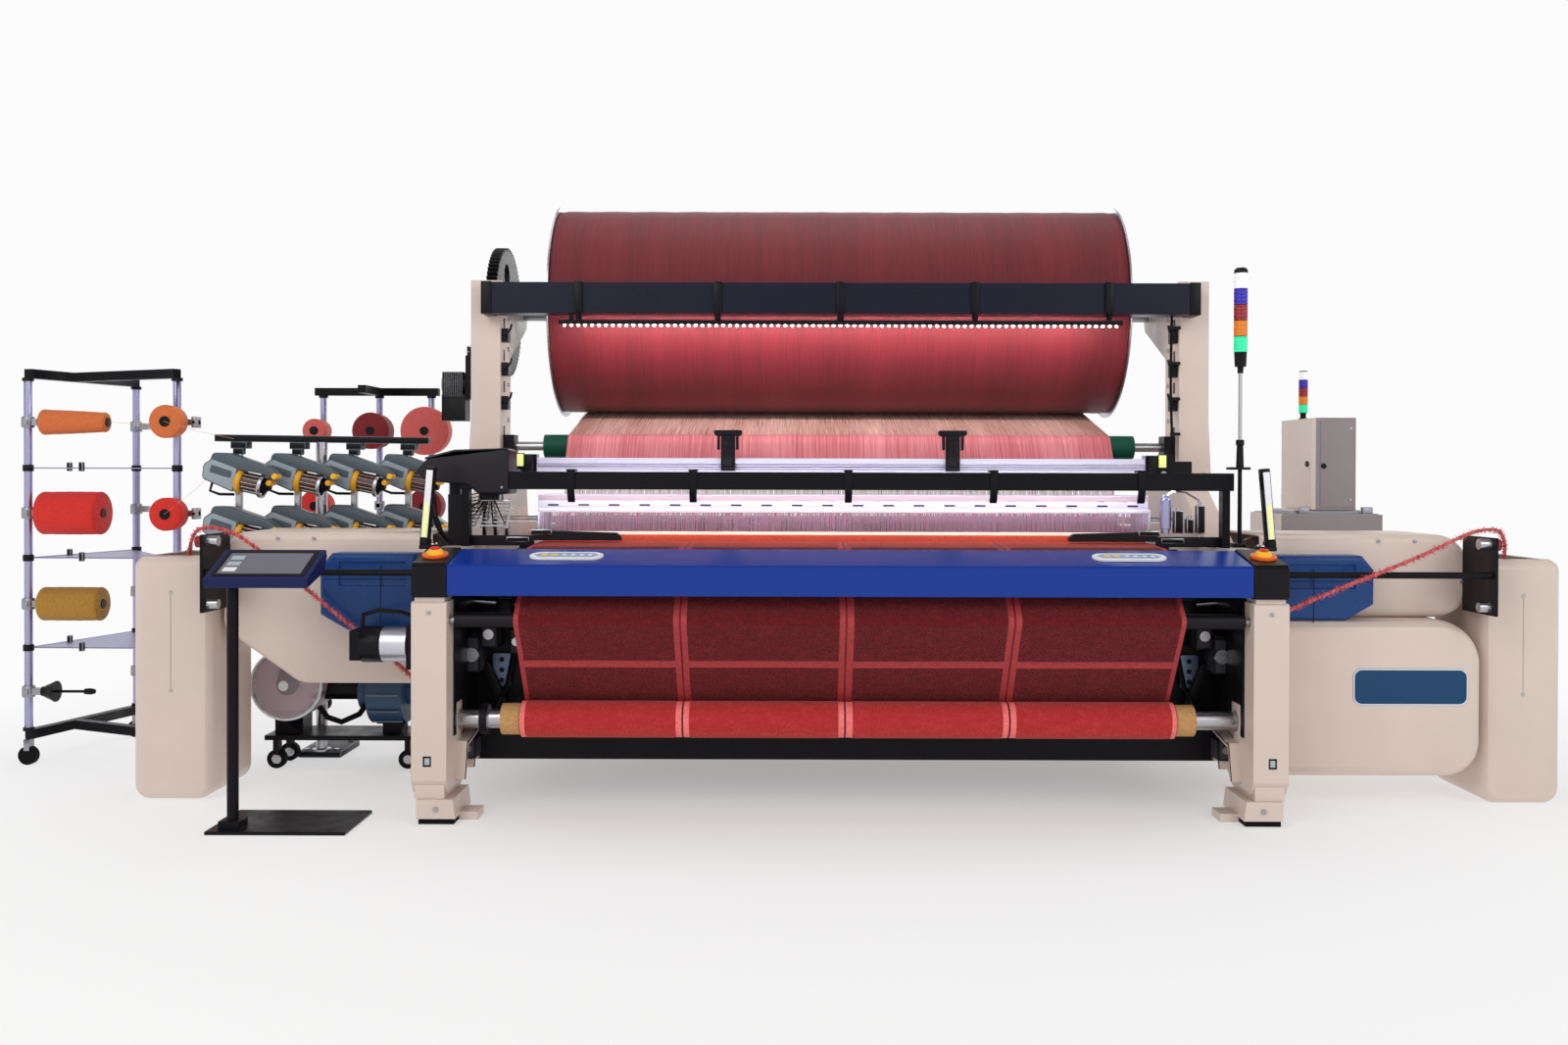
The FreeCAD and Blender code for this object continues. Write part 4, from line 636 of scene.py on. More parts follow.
class LoomStage(bpy.types.PropertyGroup):
    """Floor, light and camera."""
    eye: FloatVectorProperty(name="Eye", description="Place of the camera", size=3, subtype="TRANSLATION",
        unit="LENGTH", default=(-0.208, -5.669, 1.275))
    yaw: FloatProperty(name="Yaw", description="Turn of the camera to the right", unit="ROTATION",
        default=math.radians(-0.135))
    pitch: FloatProperty(name="Pitch", description="Tilt of the camera upwards", unit="ROTATION",
        default=math.radians(-0.502))
    roll: FloatProperty(name="Roll", description="Lean of the camera", unit="ROTATION",
        default=math.radians(-0.146))
    lens: FloatProperty(name="Focal length", description="For a 36 mm wide sensor", default=31.14)
    floor_colour: FloatVectorProperty(name="Floor", description="Colour of the studio floor", size=4,
        subtype="COLOR", default=tint("FBFAFA"))
    room_colour: FloatVectorProperty(name="Room", description="Colour of the studio behind the machine", size=4,
        subtype="COLOR", default=tint("FCFCFC"))


class LoomYarn(bpy.types.PropertyGroup):
    """Warp, cloth and waste ropes."""
    rope_diameter: length("Rope diameter", "Of the two waste ropes", 0.014)
    rope_strand: length("Rope strand", "Diameter of one of a rope's strands", 0.0074)
    rope_lay: length("Rope lay", "Length of one twist of a rope", 0.055)
    warp_pitch: length("Warp pitch", "From one drawn warp yarn to the next", 0.0045)
    warp_yarn: length("Warp yarn", "Radius of one drawn warp yarn", 0.0014)
    dent_pitch: length("Dent pitch", "From one reed wire to the next", 0.006)
    heald_pitch: length("Heald pitch", "From one heald wire to the next", 0.009)
    pile_height: length("Pile height", "Rise of the terry loops over the flat borders", 0.002)
    border_wide: length("Border", "Width of one flat towel border", 0.022)


class LoomFittings(bpy.types.PropertyGroup):
    """Lamps and screws."""
    led_pitch: length("LED pitch", "From one lamp bead to the next", 0.03)
    led_power: FloatProperty(name="LED light", description="Light of the strip over the warp", unit="POWER",
        default=15.0)
    screw: length("Screw head", "Radius of a cover's screw heads", 0.007)


# ---- stage
PHOTO_WIDE, PHOTO_TALL = 1600, 1066
OPTICAL_X, OPTICAL_Y = 805.1, 491.5     # where the lens axis meets the picture
FADE_START, FADE_END = 1.2, 5.0         # metres from the middle over which the floor turns into the room
FLOOR_GLOW = 0.35                       # share of the room's own white in the floor under the machine
DOME_LIGHT = 0.3                       # strength of the room's light overhead, beside 1 near the horizon


def studio_paper(look):
    """Seamless studio paper: matt near the machine, fading into the pale room far off, so no edge shows."""
    material, tree, shader, place = surface("studio_paper", "FFFFFF", Roughness=0.9, Specular_IOR_Level=0.15)
    shader.inputs["Base Color"].default_value = look.floor_colour
    away = add(tree, "ShaderNodeVectorMath", {0: place}, operation="LENGTH").outputs["Value"]
    far = spread(tree, away, FADE_START, FADE_END, FLOOR_GLOW, 1.0)
    room = add(tree, "ShaderNodeEmission", {"Color": look.room_colour, "Strength": 1.0})
    mixed = add(tree, "ShaderNodeMixShader", {0: far, 1: shader.outputs[0], 2: room.outputs[0]})
    end = next(node for node in tree.nodes if node.type == "OUTPUT_MATERIAL")
    tree.links.new(mixed.outputs[0], end.inputs["Surface"])
    return material


def lamp(name, place, aim, size, watts, code):
    """A soft area light aimed at a point; the size is one side, or (length, width)."""
    light = bpy.data.lights.new(name, "AREA")
    if isinstance(size, tuple):
        light.shape, light.size, light.size_y = "RECTANGLE", size[0], size[1]
    else:
        light.size = size
    light.energy = watts
    light.color = tint(code)[:3]
    thing = link(bpy.data.objects.new(name, light))
    thing.location = place
    thing.rotation_euler = (Vector(aim) - Vector(place)).to_track_quat("-Z", "Y").to_euler()


def paper(shape):
    bmesh.ops.create_circle(shape, cap_ends=True, radius=40, segments=96)


class LOOM_OT_stage(bpy.types.Operator):
    """Make the camera, the pale floor and the soft studio light"""
    bl_idname = "loom.stage"
    bl_label = "Stage"

    def execute(self, context):
        look = context.scene.loom_stage
        lens = bpy.data.cameras.new("photo_camera")
        lens.sensor_width = 36
        lens.lens = look.lens
        lens.shift_x = (PHOTO_WIDE / 2 - OPTICAL_X) / PHOTO_WIDE
        lens.shift_y = -(PHOTO_TALL / 2 - OPTICAL_Y) / PHOTO_WIDE
        camera = link(bpy.data.objects.new("photo_camera", lens))
        ahead = Vector((math.sin(look.yaw) * math.cos(look.pitch), math.cos(look.yaw) * math.cos(look.pitch),
            math.sin(look.pitch)))
        right = Vector((math.cos(look.yaw), -math.sin(look.yaw), 0))
        up = right.cross(ahead)
        lean = Matrix.Rotation(look.roll, 3, ahead)
        right, up = lean @ right, lean @ up
        turn = Matrix((right, up, -ahead)).transposed().to_4x4()
        camera.matrix_world = Matrix.Translation(look.eye) @ turn
        context.scene.camera = camera

        floor = link(bpy.data.objects.new("studio_floor", mesh_from(paper)))
        floor.location.z = -0.0005
        floor.data.materials.append(studio_paper(look))
        lamp("key_light", (-3.2, -5.0, 4.6), (0, 0, 1.0), 3.2, 95, "FFFBF6")
        lamp("fill_light", (4.2, -4.5, 3.6), (0, 0, 1.0), 3.0, 60, "FBFCFF")
        lamp("top_light", (0, 0.6, 5.6), (0, 0.2, 1.0), 4.0, 85, "FFFFFF")
        lamp("back_light", (0, 6.0, 4.2), (0, 0, 1.2), 4.0, 60, "FFFFFF")
        room = bpy.data.worlds.new("room")
        room.use_nodes = True
        air = room.node_tree
        air.nodes["Background"].inputs["Color"].default_value = look.room_colour
        heading = add(air, "ShaderNodeTexCoord").outputs["Generated"]
        height = add(air, "ShaderNodeSeparateXYZ", {0: heading}).outputs["Z"]
        air.links.new(spread(air, height, 0.38, 0.7, 1.0, DOME_LIGHT),
            air.nodes["Background"].inputs["Strength"])
        context.scene.world = room
        context.scene.view_settings.view_transform = "Standard"
        return {"FINISHED"}


# ---- waste ropes
ROPE_RIGHT = [(1.576, -0.672, 0.742), (1.768, -0.668, 0.826), (1.958, -0.676, 0.902), (2.148, -0.668, 0.98),
    (2.336, -0.632, 1.064), (2.512, -0.524, 1.052), (2.553, -0.394, 0.894)]
ROPE_LEFT = [(-1.568, -0.568, 0.43), (-1.712, -0.574, 0.562), (-1.866, -0.566, 0.682), (-2.016, -0.573, 0.806),
    (-2.166, -0.566, 0.932), (-2.326, -0.588, 1.056), (-2.512, -0.518, 1.05), (-2.553, -0.392, 0.89)]
CABLE_COLUMN = [(1.458, 0.3, 1.9525), (1.456, 0.31, 1.71), (1.46, 0.305, 1.47), (1.467, 0.292, 1.33),
    (1.477, 0.288, 1.201)]


def route(name, points):
    """A cord's own line: one smooth spline over its route points."""
    line = bpy.data.curves.new(name, "CURVE")
    line.dimensions = "3D"
    line.resolution_u = 12
    spline = line.splines.new("NURBS")
    spline.points.add(len(points) - 1)
    for point, place in zip(spline.points, points):
        point.co = (*place, 1)
    spline.order_u = 3
    spline.use_endpoint_u = True
    return link(bpy.data.objects.new(name, line))


def points_of(line_object):
    """The points that a route's spline passes through."""
    bpy.context.view_layer.update()
    seen = line_object.evaluated_get(bpy.context.evaluated_depsgraph_get())
    mesh = bpy.data.meshes.new_from_object(seen)
    points = [vert.co.copy() for vert in mesh.vertices]
    bpy.data.meshes.remove(mesh)
    return points


def evenly(points, step):
    """Points at even distances along a line, with both its ends."""
    even, left = [points[0].copy()], step
    for first, second in zip(points, points[1:]):
        run = (second - first).length
        while left < run:
            even.append(first.lerp(second, left / run))
            left += step
        left -= run
    return even + [points[-1].copy()] if (even[-1] - points[-1]).length > step / 3 else even


def cord_path(name, points, step):
    """Even points on a route's spline."""
    line = route(name + "_line", points)
    path = evenly(points_of(line), step)
    bpy.data.objects.remove(line)
    return path


def length_of(path):
    """The length of a line of points."""
    return sum((b - a).length for a, b in zip(path, path[1:]))


def beside(path, k):
    """The direction of a path at one of its points, and two directions across it."""
    ahead = (path[min(k + 1, len(path) - 1)] - path[max(k - 1, 0)]).normalized()
    across = ahead.cross(Vector((0, 1, 0))).normalized()
    return ahead, across, ahead.cross(across)


def rope(name, points, node_names, yarn):
    """One waste rope of three twisted strands, with loose ends standing out of it."""
    step = 0.006
    path = cord_path(name, points, step)
    strand_r = yarn.rope_strand / 2
    reach = yarn.rope_diameter / 2 - strand_r

    def strands(shape):
        for strand in range(3):
            twisted = []
            for k, point in enumerate(path):
                _, across, other = beside(path, k)
                angle = 2 * math.pi * (k * step / yarn.rope_lay + strand / 3)
                twisted.append(point + reach * (math.cos(angle) * across + math.sin(angle) * other))
            sweep(shape, twisted, strand_r, sides=6)

    cord = piece(name, strands, ["waste_cotton"], node_names, 80)

    def fringe(shape):
        dice = random.Random(7)
        for k in range(3, len(path) - 3):
            for _ in range(3):
                ahead, across, other = beside(path, k)
                angle = dice.uniform(0, 2 * math.pi)
                out = math.cos(angle) * across + math.sin(angle) * other
                start = path[k] + out * yarn.rope_diameter * 0.4
                tip = start + out * dice.uniform(0.004, 0.013) + ahead * dice.uniform(-0.014, 0.014)
                middle = (start + tip) / 2 + Vector((0, 0, -0.002))
                sweep(shape, [start, middle, tip], [0.0012, 0.001, 0.0006], sides=3)

    ends = piece(name + "_ends", fringe, ["waste_cotton"])
    points[0]
    round(length_of(path), 3)


class LOOM_OT_waste_ropes(bpy.types.Operator):
    """Lead the two waste ropes from the machine over their rollers into the bins"""
    bl_idname = "loom.waste_ropes"
    bl_label = "Waste ropes"

    def execute(self, context):
        yarn = context.scene.loom_yarn
        rope("waste_rope_right", ROPE_RIGHT, ["waste_ropes"], yarn)
        rope("waste_rope_left", ROPE_LEFT, [], yarn)
        return {"FINISHED"}


# ---- castings, covers and beams
SIDES = (-1, 1)


def screw_heads(name, places, radius):
    """Socket screws that face the weaver: a domed head with a hexagon hole at each place."""
    deep = -0.9 * radius
    heads = []
    for place in places:
        def head(shape, place=place):
            lathe(shape, "y", place, [(0, 0), (0, radius), (deep * 0.7, radius), (deep, radius * 0.8),
                (deep, radius * 0.45), (deep * 0.5, radius * 0.42), (deep * 0.5, 0)], steps=12)
            bmesh.ops.reverse_faces(shape, faces=shape.faces)
        heads.append(mesh_from(head))
    return piece(name, joined(heads), ["steel"])


def column_details(shape):
    for side in SIDES:
        for up in (1.3, 1.42, 1.62, 1.76, 1.9):
            block(shape, (side * 1.4985, side * 1.502), (0.395, 0.425), (up, up + 0.05), 0, 0.001)
        for up in (1.5, 1.66, 1.82, 1.96):
            turned(shape, "x", (side * 1.5, 0.5, up), [(-0.006, 0.011), (0.006, 0.011)], 1, 16)
        for up in (1.57, 1.72, 1.87):
            sweep(shape, [(side * 1.485, 0.345, up), (side * 1.47, 0.325, up + 0.004),
                (side * 1.452, 0.318, up + 0.022), (side * 1.448, 0.32, up + 0.045)], 0.005, 0, 6)
        for across in (1.52, 1.61):
            for up in (1.225, 1.26):
                turned(shape, "y", (side * across, 0.3285, up), [(0, 0.01), (0.0025, 0.012)], 1, 12)
        block(shape, (side * 1.503, side * 1.56), (0.312, 0.3305), (1.955, 2.086), 0, 0.002)


def beam_trim(shape):
    for place in (-1.15, -0.545, -0.015, 0.57, 1.15):
        block(shape, (place - 0.004, place + 0.03), (0.206, 0.2145), (1.955, 2.089), 0, 0.002)
        sweep(shape, [(place + 0.013, 0.212, 1.962), (place + 0.013, 0.206, 1.944),
            (place + 0.013, 0.19, 1.934), (place + 0.013, 0.172, 1.938), (place + 0.013, 0.166, 1.952)], 0.0065)
    for place in (-1.08, -0.605, 0.0, 0.565, 1.14):
        slab(shape, "yz", [(-0.402, 1.276), (-0.392, 1.276), (-0.392, 1.19), (-0.372, 1.152), (-0.381, 1.147),
            (-0.402, 1.186)], (place - 0.003, place + 0.025))
        block(shape, (place - 0.006, place + 0.028), (-0.404, -0.34), (1.267, 1.2755), 0, 0.002)
    for side in SIDES:
        block(shape, (side * 1.515, side * 1.5615), (0.2155, 0.331), (1.95, 2.091), 0, 0.003)


def tension_details(shape):
    for side in SIDES:
        block(shape, (side * 1.352, side * 1.392), (0.122, 0.131), (1.285, 1.345), 2, 0.004)
        turned(shape, "y", (side * 1.372, 0.1, 1.262), [(0, 0.012), (0.012, 0.014), (0.012, 0.008),
            (0.03, 0.008)], 1, 20)
        blocks(shape, [
            (side * 1.405, side * 1.44, 0.112, 0.19, 1.205, 1.255, 0, 0.004),
            (side * 1.312, side * 1.345, 0.112, 0.131, 1.24, 1.34, 0, 0.004)])
    for place in (-0.482, 0.476):
        blocks(shape, [
            (place - 0.06, place + 0.06, 0.098, 0.168, 1.424, 1.444, 0, 0.006),
            (place - 0.022, place + 0.022, 0.095, 0.106, 1.29, 1.4, 0, 0.003)])
        for side in SIDES:
            block(shape, (place + side * 0.034, place + side * 0.046), (0.1, 0.125), (1.36, 1.424), 0, 0.002)
    for up in (1.262, 1.2875, 1.313):
        block(shape, (-1.298, 1.298), (0.1355, 0.1385), (up - 0.0015, up + 0.0015), 3)


def inside_legs(shape):
    for side in SIDES:
        slab(shape, "xz", [(side * x, z) for x, z in ((1.235, 0.17), (1.4549, 0.17), (1.4549, 0.845),
            (1.33, 0.845), (1.29, 0.8), (1.235, 0.79))], (-0.378, -0.362), 0, 0.003)
        # This black sheet on the side frame's inner face is painted shade: it darkens the beige casting above
        # its ribs, where shade falls under the breast beam.
        slab(shape, "yz", [(-0.722, 0.3), (-0.69, 0.3), (-0.69, 0.415), (-0.55, 0.415), (-0.55, 0.3),
            (-0.362, 0.3), (-0.362, 0.845), (-0.6, 0.845), (-0.722, 0.8)], (side * 1.44, side * 1.4549), 0,
            0.002)
        for y, low, high in ((-0.7, 0.135, 0.27), (-0.56, 0.15, 0.25), (-0.48, 0.165, 0.3)):
            slab(shape, "yz", [(y, low), (y + 0.014, low), (y + 0.05, high), (y + 0.036, high)],
                (side * 1.405, side * 1.4549), 4, 0.003)
        slab(shape, "yz", [(-0.664, 0.248), (-0.444, 0.28), (-0.444, 0.294), (-0.664, 0.262)],
            (side * 1.405, side * 1.4549), 4, 0.003)
        blocks(shape, [
            (side * 1.395, side * 1.4545, -0.52, -0.372, 0.5, 0.64, 1, 0.008),
            (side * 1.33, side * 1.4, -0.5, -0.372, 0.59, 0.7, 1, 0.01),
            (side * 1.285, side * 1.345, -0.47, -0.372, 0.7, 0.78, 0, 0.006),
            (side * 1.245, side * 1.3, -0.44, -0.372, 0.56, 0.66, 1, 0.006),
            (side * 1.4, side * 1.4545, -0.56, -0.372, 0.18, 0.262, 1, 0.008)])
        for x, y, up, wide in ((1.425, -0.522, 0.57, 0.03), (1.365, -0.502, 0.645, 0.022),
                (1.272, -0.442, 0.61, 0.018), (1.43, -0.562, 0.222, 0.016)):
            turned(shape, "y", (side * x, y, up), [(-0.006, wide * 0.9), (0.004, wide)], 2, 24)
        slab(shape, "xz", [(side * x, z) for x, z in round_corners([(1.255, 0.25, 0.02), (1.3, 0.24, 0.02),
            (1.42, 0.52, 0.02), (1.385, 0.54, 0.02)], 5)], (-0.42, -0.402), 0, 0.003)
        slab(shape, "xz", [(side * x, z) for x, z in rounded((1.3, 1.372), (0.43, 0.56), 0.01, 4)],
            (-0.402, -0.392), 3, 0.001)
        for up in (0.455, 0.495, 0.535):
            turned(shape, "y", (side * 1.336, -0.4022, up), [(-0.0006, 0.01), (0.001, 0.01)], 0, 16)
        for start, end in (((1.25, -0.4, 0.745), (1.4545, -0.4, 0.76)), ((1.29, -0.455, 0.67),
                (1.4545, -0.455, 0.7))):
            sweep(shape, [(side * start[0], *start[1:]), (side * end[0], *end[1:])], 0.007, 2, 10)
        sweep(shape, [(side * 1.3, -0.405, 0.64), (side * 1.29, -0.41, 0.56), (side * 1.31, -0.425, 0.44),
            (side * 1.36, -0.42, 0.34), (side * 1.4545, -0.41, 0.3)], 0.009)


def window_fields(shape):
    for side in SIDES:
        blocks(shape, [
            (side * 1.4995, side * 1.5305, -0.8165, -0.812, 0.206, 0.246, 0),
            (side * 1.505, side * 1.525, -0.8185, -0.816, 0.213, 0.239, 1, 0.001)])


class LOOM_OT_castings(bpy.types.Operator):
    """Finish the side frames, legs, feet, breast beam and cross beams"""
    bl_idname = "loom.castings"
    bl_label = "Castings and beams"

    def execute(self, context):
        screw = context.scene.loom_fittings.screw
        for word in ("left", "right"):
            finish(f"side_frame_{word}", "beige_enamel")
        dress("front_leg_covers", ["beige_enamel"], ease=0.005)
        dress("machine_feet", ["beige_enamel", "black_rubber"],
            lambda at, out: 1 if at.z < 0.0201 and abs(at.x) > 1.418 else 0, ease=0.003)
        dress("cross_members", ["black_coat", "steel"], lambda at, out: 1 if at.z > 1.0 else 0)
        dress("breast_beam_cover", ["beam_blue"], ease=0.01)
        dress("breast_beam_caps", ["black_plastic"], ease=0.004)
        dress("beam_columns", ["beige_enamel", "black_plastic", "blackened_steel"],
            lambda at, out: 1 if 1.469 < abs(at.x) < 1.4995 and at.y < 0.401 else 2 if abs(at.x) < 1.4995
            else 0, ease=0.004)
        dress("top_cross_beam", ["navy_coat", "black_coat"], lambda at, out: 0 if at.y > 0.2195
            and 1.9525 < at.z < 2.0885 and abs(at.x) < 1.559 else 1, ease=0.003)
        dress("light_beam", ["black_coat"], ease=0.003)
        dress("tension_beam", ["aluminium_pale", "black_plastic"],
            lambda at, out: 0 if abs(at.x) < 1.3005 and at.z < 1.3255 and at.y > 0.1295 else 1, ease=0.0025)
        piece("column_hooks_and_slots", column_details, ["black_plastic", "steel"])
        piece("beam_straps_and_hooks", beam_trim, ["black_plastic"])
        piece("tension_beam_fittings", tension_details, ["black_plastic", "steel", "curtain_lime",
            "blackened_steel"])
        screw_heads("leg_cover_screws", [(side * 1.5085, -0.8205, 0.76) for side in SIDES], screw)
        screw_heads("foot_bolts", [(side * 1.4835, -0.8205, 0.055) for side in SIDES], 0.009)
        piece("drives_inside_the_legs", inside_legs, ["black_coat", "cast_grey", "steel", "plate_blue_grey",
            "beige_enamel"])
        piece("leg_sight_glasses", window_fields, ["black_plastic", "pale_grey_plastic"])
        return {"FINISHED"}


# ---- warp: windings, yarns and lamps
PILE_BEAM = (0.88, 2.03)
GROUND_BEAM = (0.88, 0.5)
CLOTH_ROLL = (-0.62, 0.345)
CROSS_BORDER = (0.532, 0.575)               # heights of the flat band across the hanging towels
RUN_GAP = 0.0003
WEAVE_HALF = 1.21
TOWEL_EDGES = (-0.612, -0.01, 0.595)      # middles of the borders between the four towels side by side


def led_over(stops, thick, step=0.3):
    """The middle line, as (y, z), of a sheet led over rollers; a stop is (y, z, radius, side)."""
    middles = [((y, z), side * (radius + RUN_GAP + thick / 2) if side else 0.0) for y, z, radius, side in stops]
    line, headings = [], []
    for (start, left), (end, right) in zip(middles, middles[1:]):
        dy, dz = end[0] - start[0], end[1] - start[1]
        headings.append(math.atan2(dz, dy) - math.asin((right - left) / math.hypot(dy, dz)))
    for k, ((start, left), (end, right)) in enumerate(zip(middles, middles[1:])):
        heading = headings[k]
        line.append((start[0] + left * math.sin(heading), start[1] - left * math.cos(heading)))
        line.append((end[0] + right * math.sin(heading), end[1] - right * math.cos(heading)))
        if k + 1 < len(headings):
            turn = math.remainder(headings[k + 1] - heading, 2 * math.pi)
            count = max(2, int(abs(turn) / step) + 1)
            for s in range(1, count):
                now = heading + turn * s / count
                line.append((end[0] + right * math.sin(now), end[1] - right * math.cos(now)))
    return line


def wound(name, centre, half, radius, finish_name, body, stands_for, seed):
    """Yarn wound on a beam: a drum whose face swells and sinks by under a millimetre from band to band."""
    dice = random.Random(seed)
    profile = [(-half, 0.14), (-half, radius - 0.004)]
    count = 120
    for k in range(count + 1):
        rise = 0.0006 * math.sin(k * 0.7) + dice.uniform(-0.0005, 0.0005)
        edge = 0.003 if k in (0, count) else 0.0
        profile.append((-half + 0.002 + (2 * half - 0.004) * k / count, radius - 0.0012 + rise - edge))
    profile += [(half, radius - 0.004), (half, 0.14)]

    def drum(shape):
        lathe(shape, "x", (0, *centre), profile, 0, 160)

    return piece(name, drum, [finish_name], stands_for, 50, body=body)


def carried(shape):
    """The dense sheet of yarn on the back rest roller and in front of it."""
    y, z = 0.43, 1.379
    down = Vector((-0.584, -0.812))
    sides = []
    for reach in (0.0551, 0.0528):
        arc = [Vector((y - reach * math.cos(a), z + reach * math.sin(a))) for a in [math.radians(35.7 + 8 * k)
            for k in range(16)]]
        sides.append([arc[0] + down * 0.17, arc[0] + down * 0.08] + arc)
    slab(shape, "yz", [tuple(p) for p in sides[0] + sides[1][::-1]], (-WEAVE_HALF, WEAVE_HALF))


def bead(shape):
    lathe(shape, "z", (0, 0.233, 1.9005), [(-0.0035, 0), (-0.003, 0.004), (0.0, 0.0058), (0.004, 0.0058),
        (0.004, 0)], 0, 10)


class LOOM_OT_warp(bpy.types.Operator):
    """Wind the two warp beams, lead their yarns to the reed and light them"""
    bl_idname = "loom.warp"
    bl_label = "Warp"

    def execute(self, context):
        yarn, fittings = context.scene.loom_yarn, context.scene.loom_fittings
        wound("pile_warp_wound", PILE_BEAM, 1.2985, 0.4795, "pile_warp", "pile_beam", ["pile_warp_winding"], 3)
        wound("ground_warp_wound", GROUND_BEAM, 1.2985, 0.3395, "ground_warp", "ground_beam",
            ["ground_warp_winding"], 5)
        for name in ("pile_beam", "ground_beam"):
            dress(name, ["steel", "zinc"], lambda at, out: 1 if abs(at.x) > 1.31 else 0,
                ease=0.0015, body=name)
        finish("pile_beam_gear", "blackened_steel")
        finish("letoff_pinion", "steel")
        lines = {
            "pile": (led_over([(*PILE_BEAM, 0.48, -1), (0.43, 1.379, 0.052, 1), (0.2, 1.06, 0.015, -1),
                               (-0.205, 0.992, 0, 0)], 0.003), "warp_strand", ["warp_sheets"]),
            "ground": (led_over([(*GROUND_BEAM, 0.34, 1), (0.63, 1.0, 0.06, 1), (-0.205, 0.985, 0, 0)], 0.003),
                       "ground_strand", [])}
        for word, (line, finish_name, stands_for) in lines.items():
            meshes = []
            for lean in (-1, 0, 1):
                def strand(shape, lean=lean):
                    run = [(lean * (0.012 if k == 0 else 0.0), y, z) for k, (y, z) in enumerate(line)]
                    sweep(shape, run, yarn.warp_yarn, 0, 3)
                start = 0.005 - WEAVE_HALF + (lean + 1) * yarn.warp_pitch
                count = int((WEAVE_HALF - 0.005 - start) / (3 * yarn.warp_pitch)) + 1
                meshes.append(row(strand, (start, 0, 0), (3 * yarn.warp_pitch, 0, 0), count, finish_name,
                    (0.0021, 0.0002, 0.0002)))
            piece(f"{word}_warp_yarns", joined(meshes), [finish_name], stands_for, 80)
        piece("warp_on_back_rest", carried, ["rest_warp"], (), 30)

        def hanging(shape):
            """The dense sheet of yarn from the pile beam down to the back rest roller."""
            top, foot = (Vector(p) for p in lines["pile"][0][:2])
            across = Vector((foot.y - top.y, top.x - foot.x)).normalized() * 0.0008
            slab(shape, "yz", [tuple(p) for p in (top + across, top - across, foot - across, foot + across)],
                (-WEAVE_HALF, WEAVE_HALF))

        # The hanging sheet's finish is far paler than the wound pile warp: painted light where the LED strip
        # falls on it.
        piece("warp_down_to_back_rest", hanging, ["led_warp"], (), 30)

        count = int(2.4 / fittings.led_pitch) + 1
        start = -fittings.led_pitch * (count - 1) / 2
        beads = row(bead, (start, 0, 0), (fittings.led_pitch, 0, 0), count, "led_white")
        piece("lamp_beads", beads, ["led_white"])
        lamp("warp_strip_light", (0, 0.225, 1.897), (0, 0.45, 1.93), (2.4, 0.02), fittings.led_power, "FFF1EE")
        lamp("heald_strip_light", (0, -0.335, 1.19), (0, -0.08, 1.12), (2.6, 0.02), 4.0, "F2EEFF")
        return {"FINISHED"}


# ---- healds, sley, reed and rollers
HEALD_PLACES = (-0.1, -0.045, 0.01, 0.065)


def dent(shape):
    block(shape, (-0.0007, 0.0007), (-0.2215, -0.2145), (1.0235, 1.1045))


def baulks(shape):
    blocks(shape, [
        (-1.23, 1.23, -0.2245, -0.2115, 0.9755, 1.027, 0, 0.0025),
        (-WEAVE_HALF, WEAVE_HALF, -0.2275, -0.224, 0.9775, 1.0155, 2, 0.001),
        (-1.23, 1.23, -0.224, -0.212, 1.103, 1.1195, 1, 0.002)])
    for side in SIDES:
        block(shape, (side * 1.222, side * 1.23), (-0.224, -0.212), (1.02, 1.11), 1, 0.001)


def rollers(name, finishes, body, half):
    dress(name, finishes, lambda at, out: 1 if abs(at.x) > half + 0.0005 else 0, ease=0.0015,
        body=body)


def temple_parts(shape):
    for side in SIDES:
        for k in range(14):
            at = side * (0.905 + 0.0205 * k)
            lathe(shape, "x", (at, -0.33, 1.01), [(-0.006, 0.009), (-0.003, 0.0125), (0.003, 0.0125),
                (0.006, 0.009)], 0, 14)
        blocks(shape, [
            (side * 1.15, side * 1.235, -0.352, -0.3, 1.018, 1.04, 1, 0.004),
            (side * 1.24, side * 1.33, -0.35, -0.318, 0.99, 1.01, 1, 0.003)])
        turned(shape, "z", (side * 1.19, -0.326, 1.038), [(0, 0.009), (0.008, 0.009)], 0, 12)
    turned(shape, "z", (1.262, -0.326, 0), [(1.03, 0.016), (1.046, 0.016), (1.048, 0.022), (1.16, 0.022),
        (1.166, 0.014), (1.18, 0.013)], 2, 28)
    for at, wide, top in ((1.312, 0.018, 1.12), (1.356, 0.015, 1.088), (1.398, 0.016, 1.14)):
        block(shape, (at - wide, at + wide), (-0.343, -0.307), (1.028, top), 1, 0.004)
        turned(shape, "z", (at, -0.325, top), [(-0.002, 0.008), (0.012, 0.007)], 0, 12)
    sweep(shape, [(1.262, -0.326, 1.172), (1.29, -0.33, 1.196), (1.34, -0.33, 1.19), (1.392, -0.326, 1.16),
        (1.398, -0.325, 1.138)], 0.004, 0, 6)


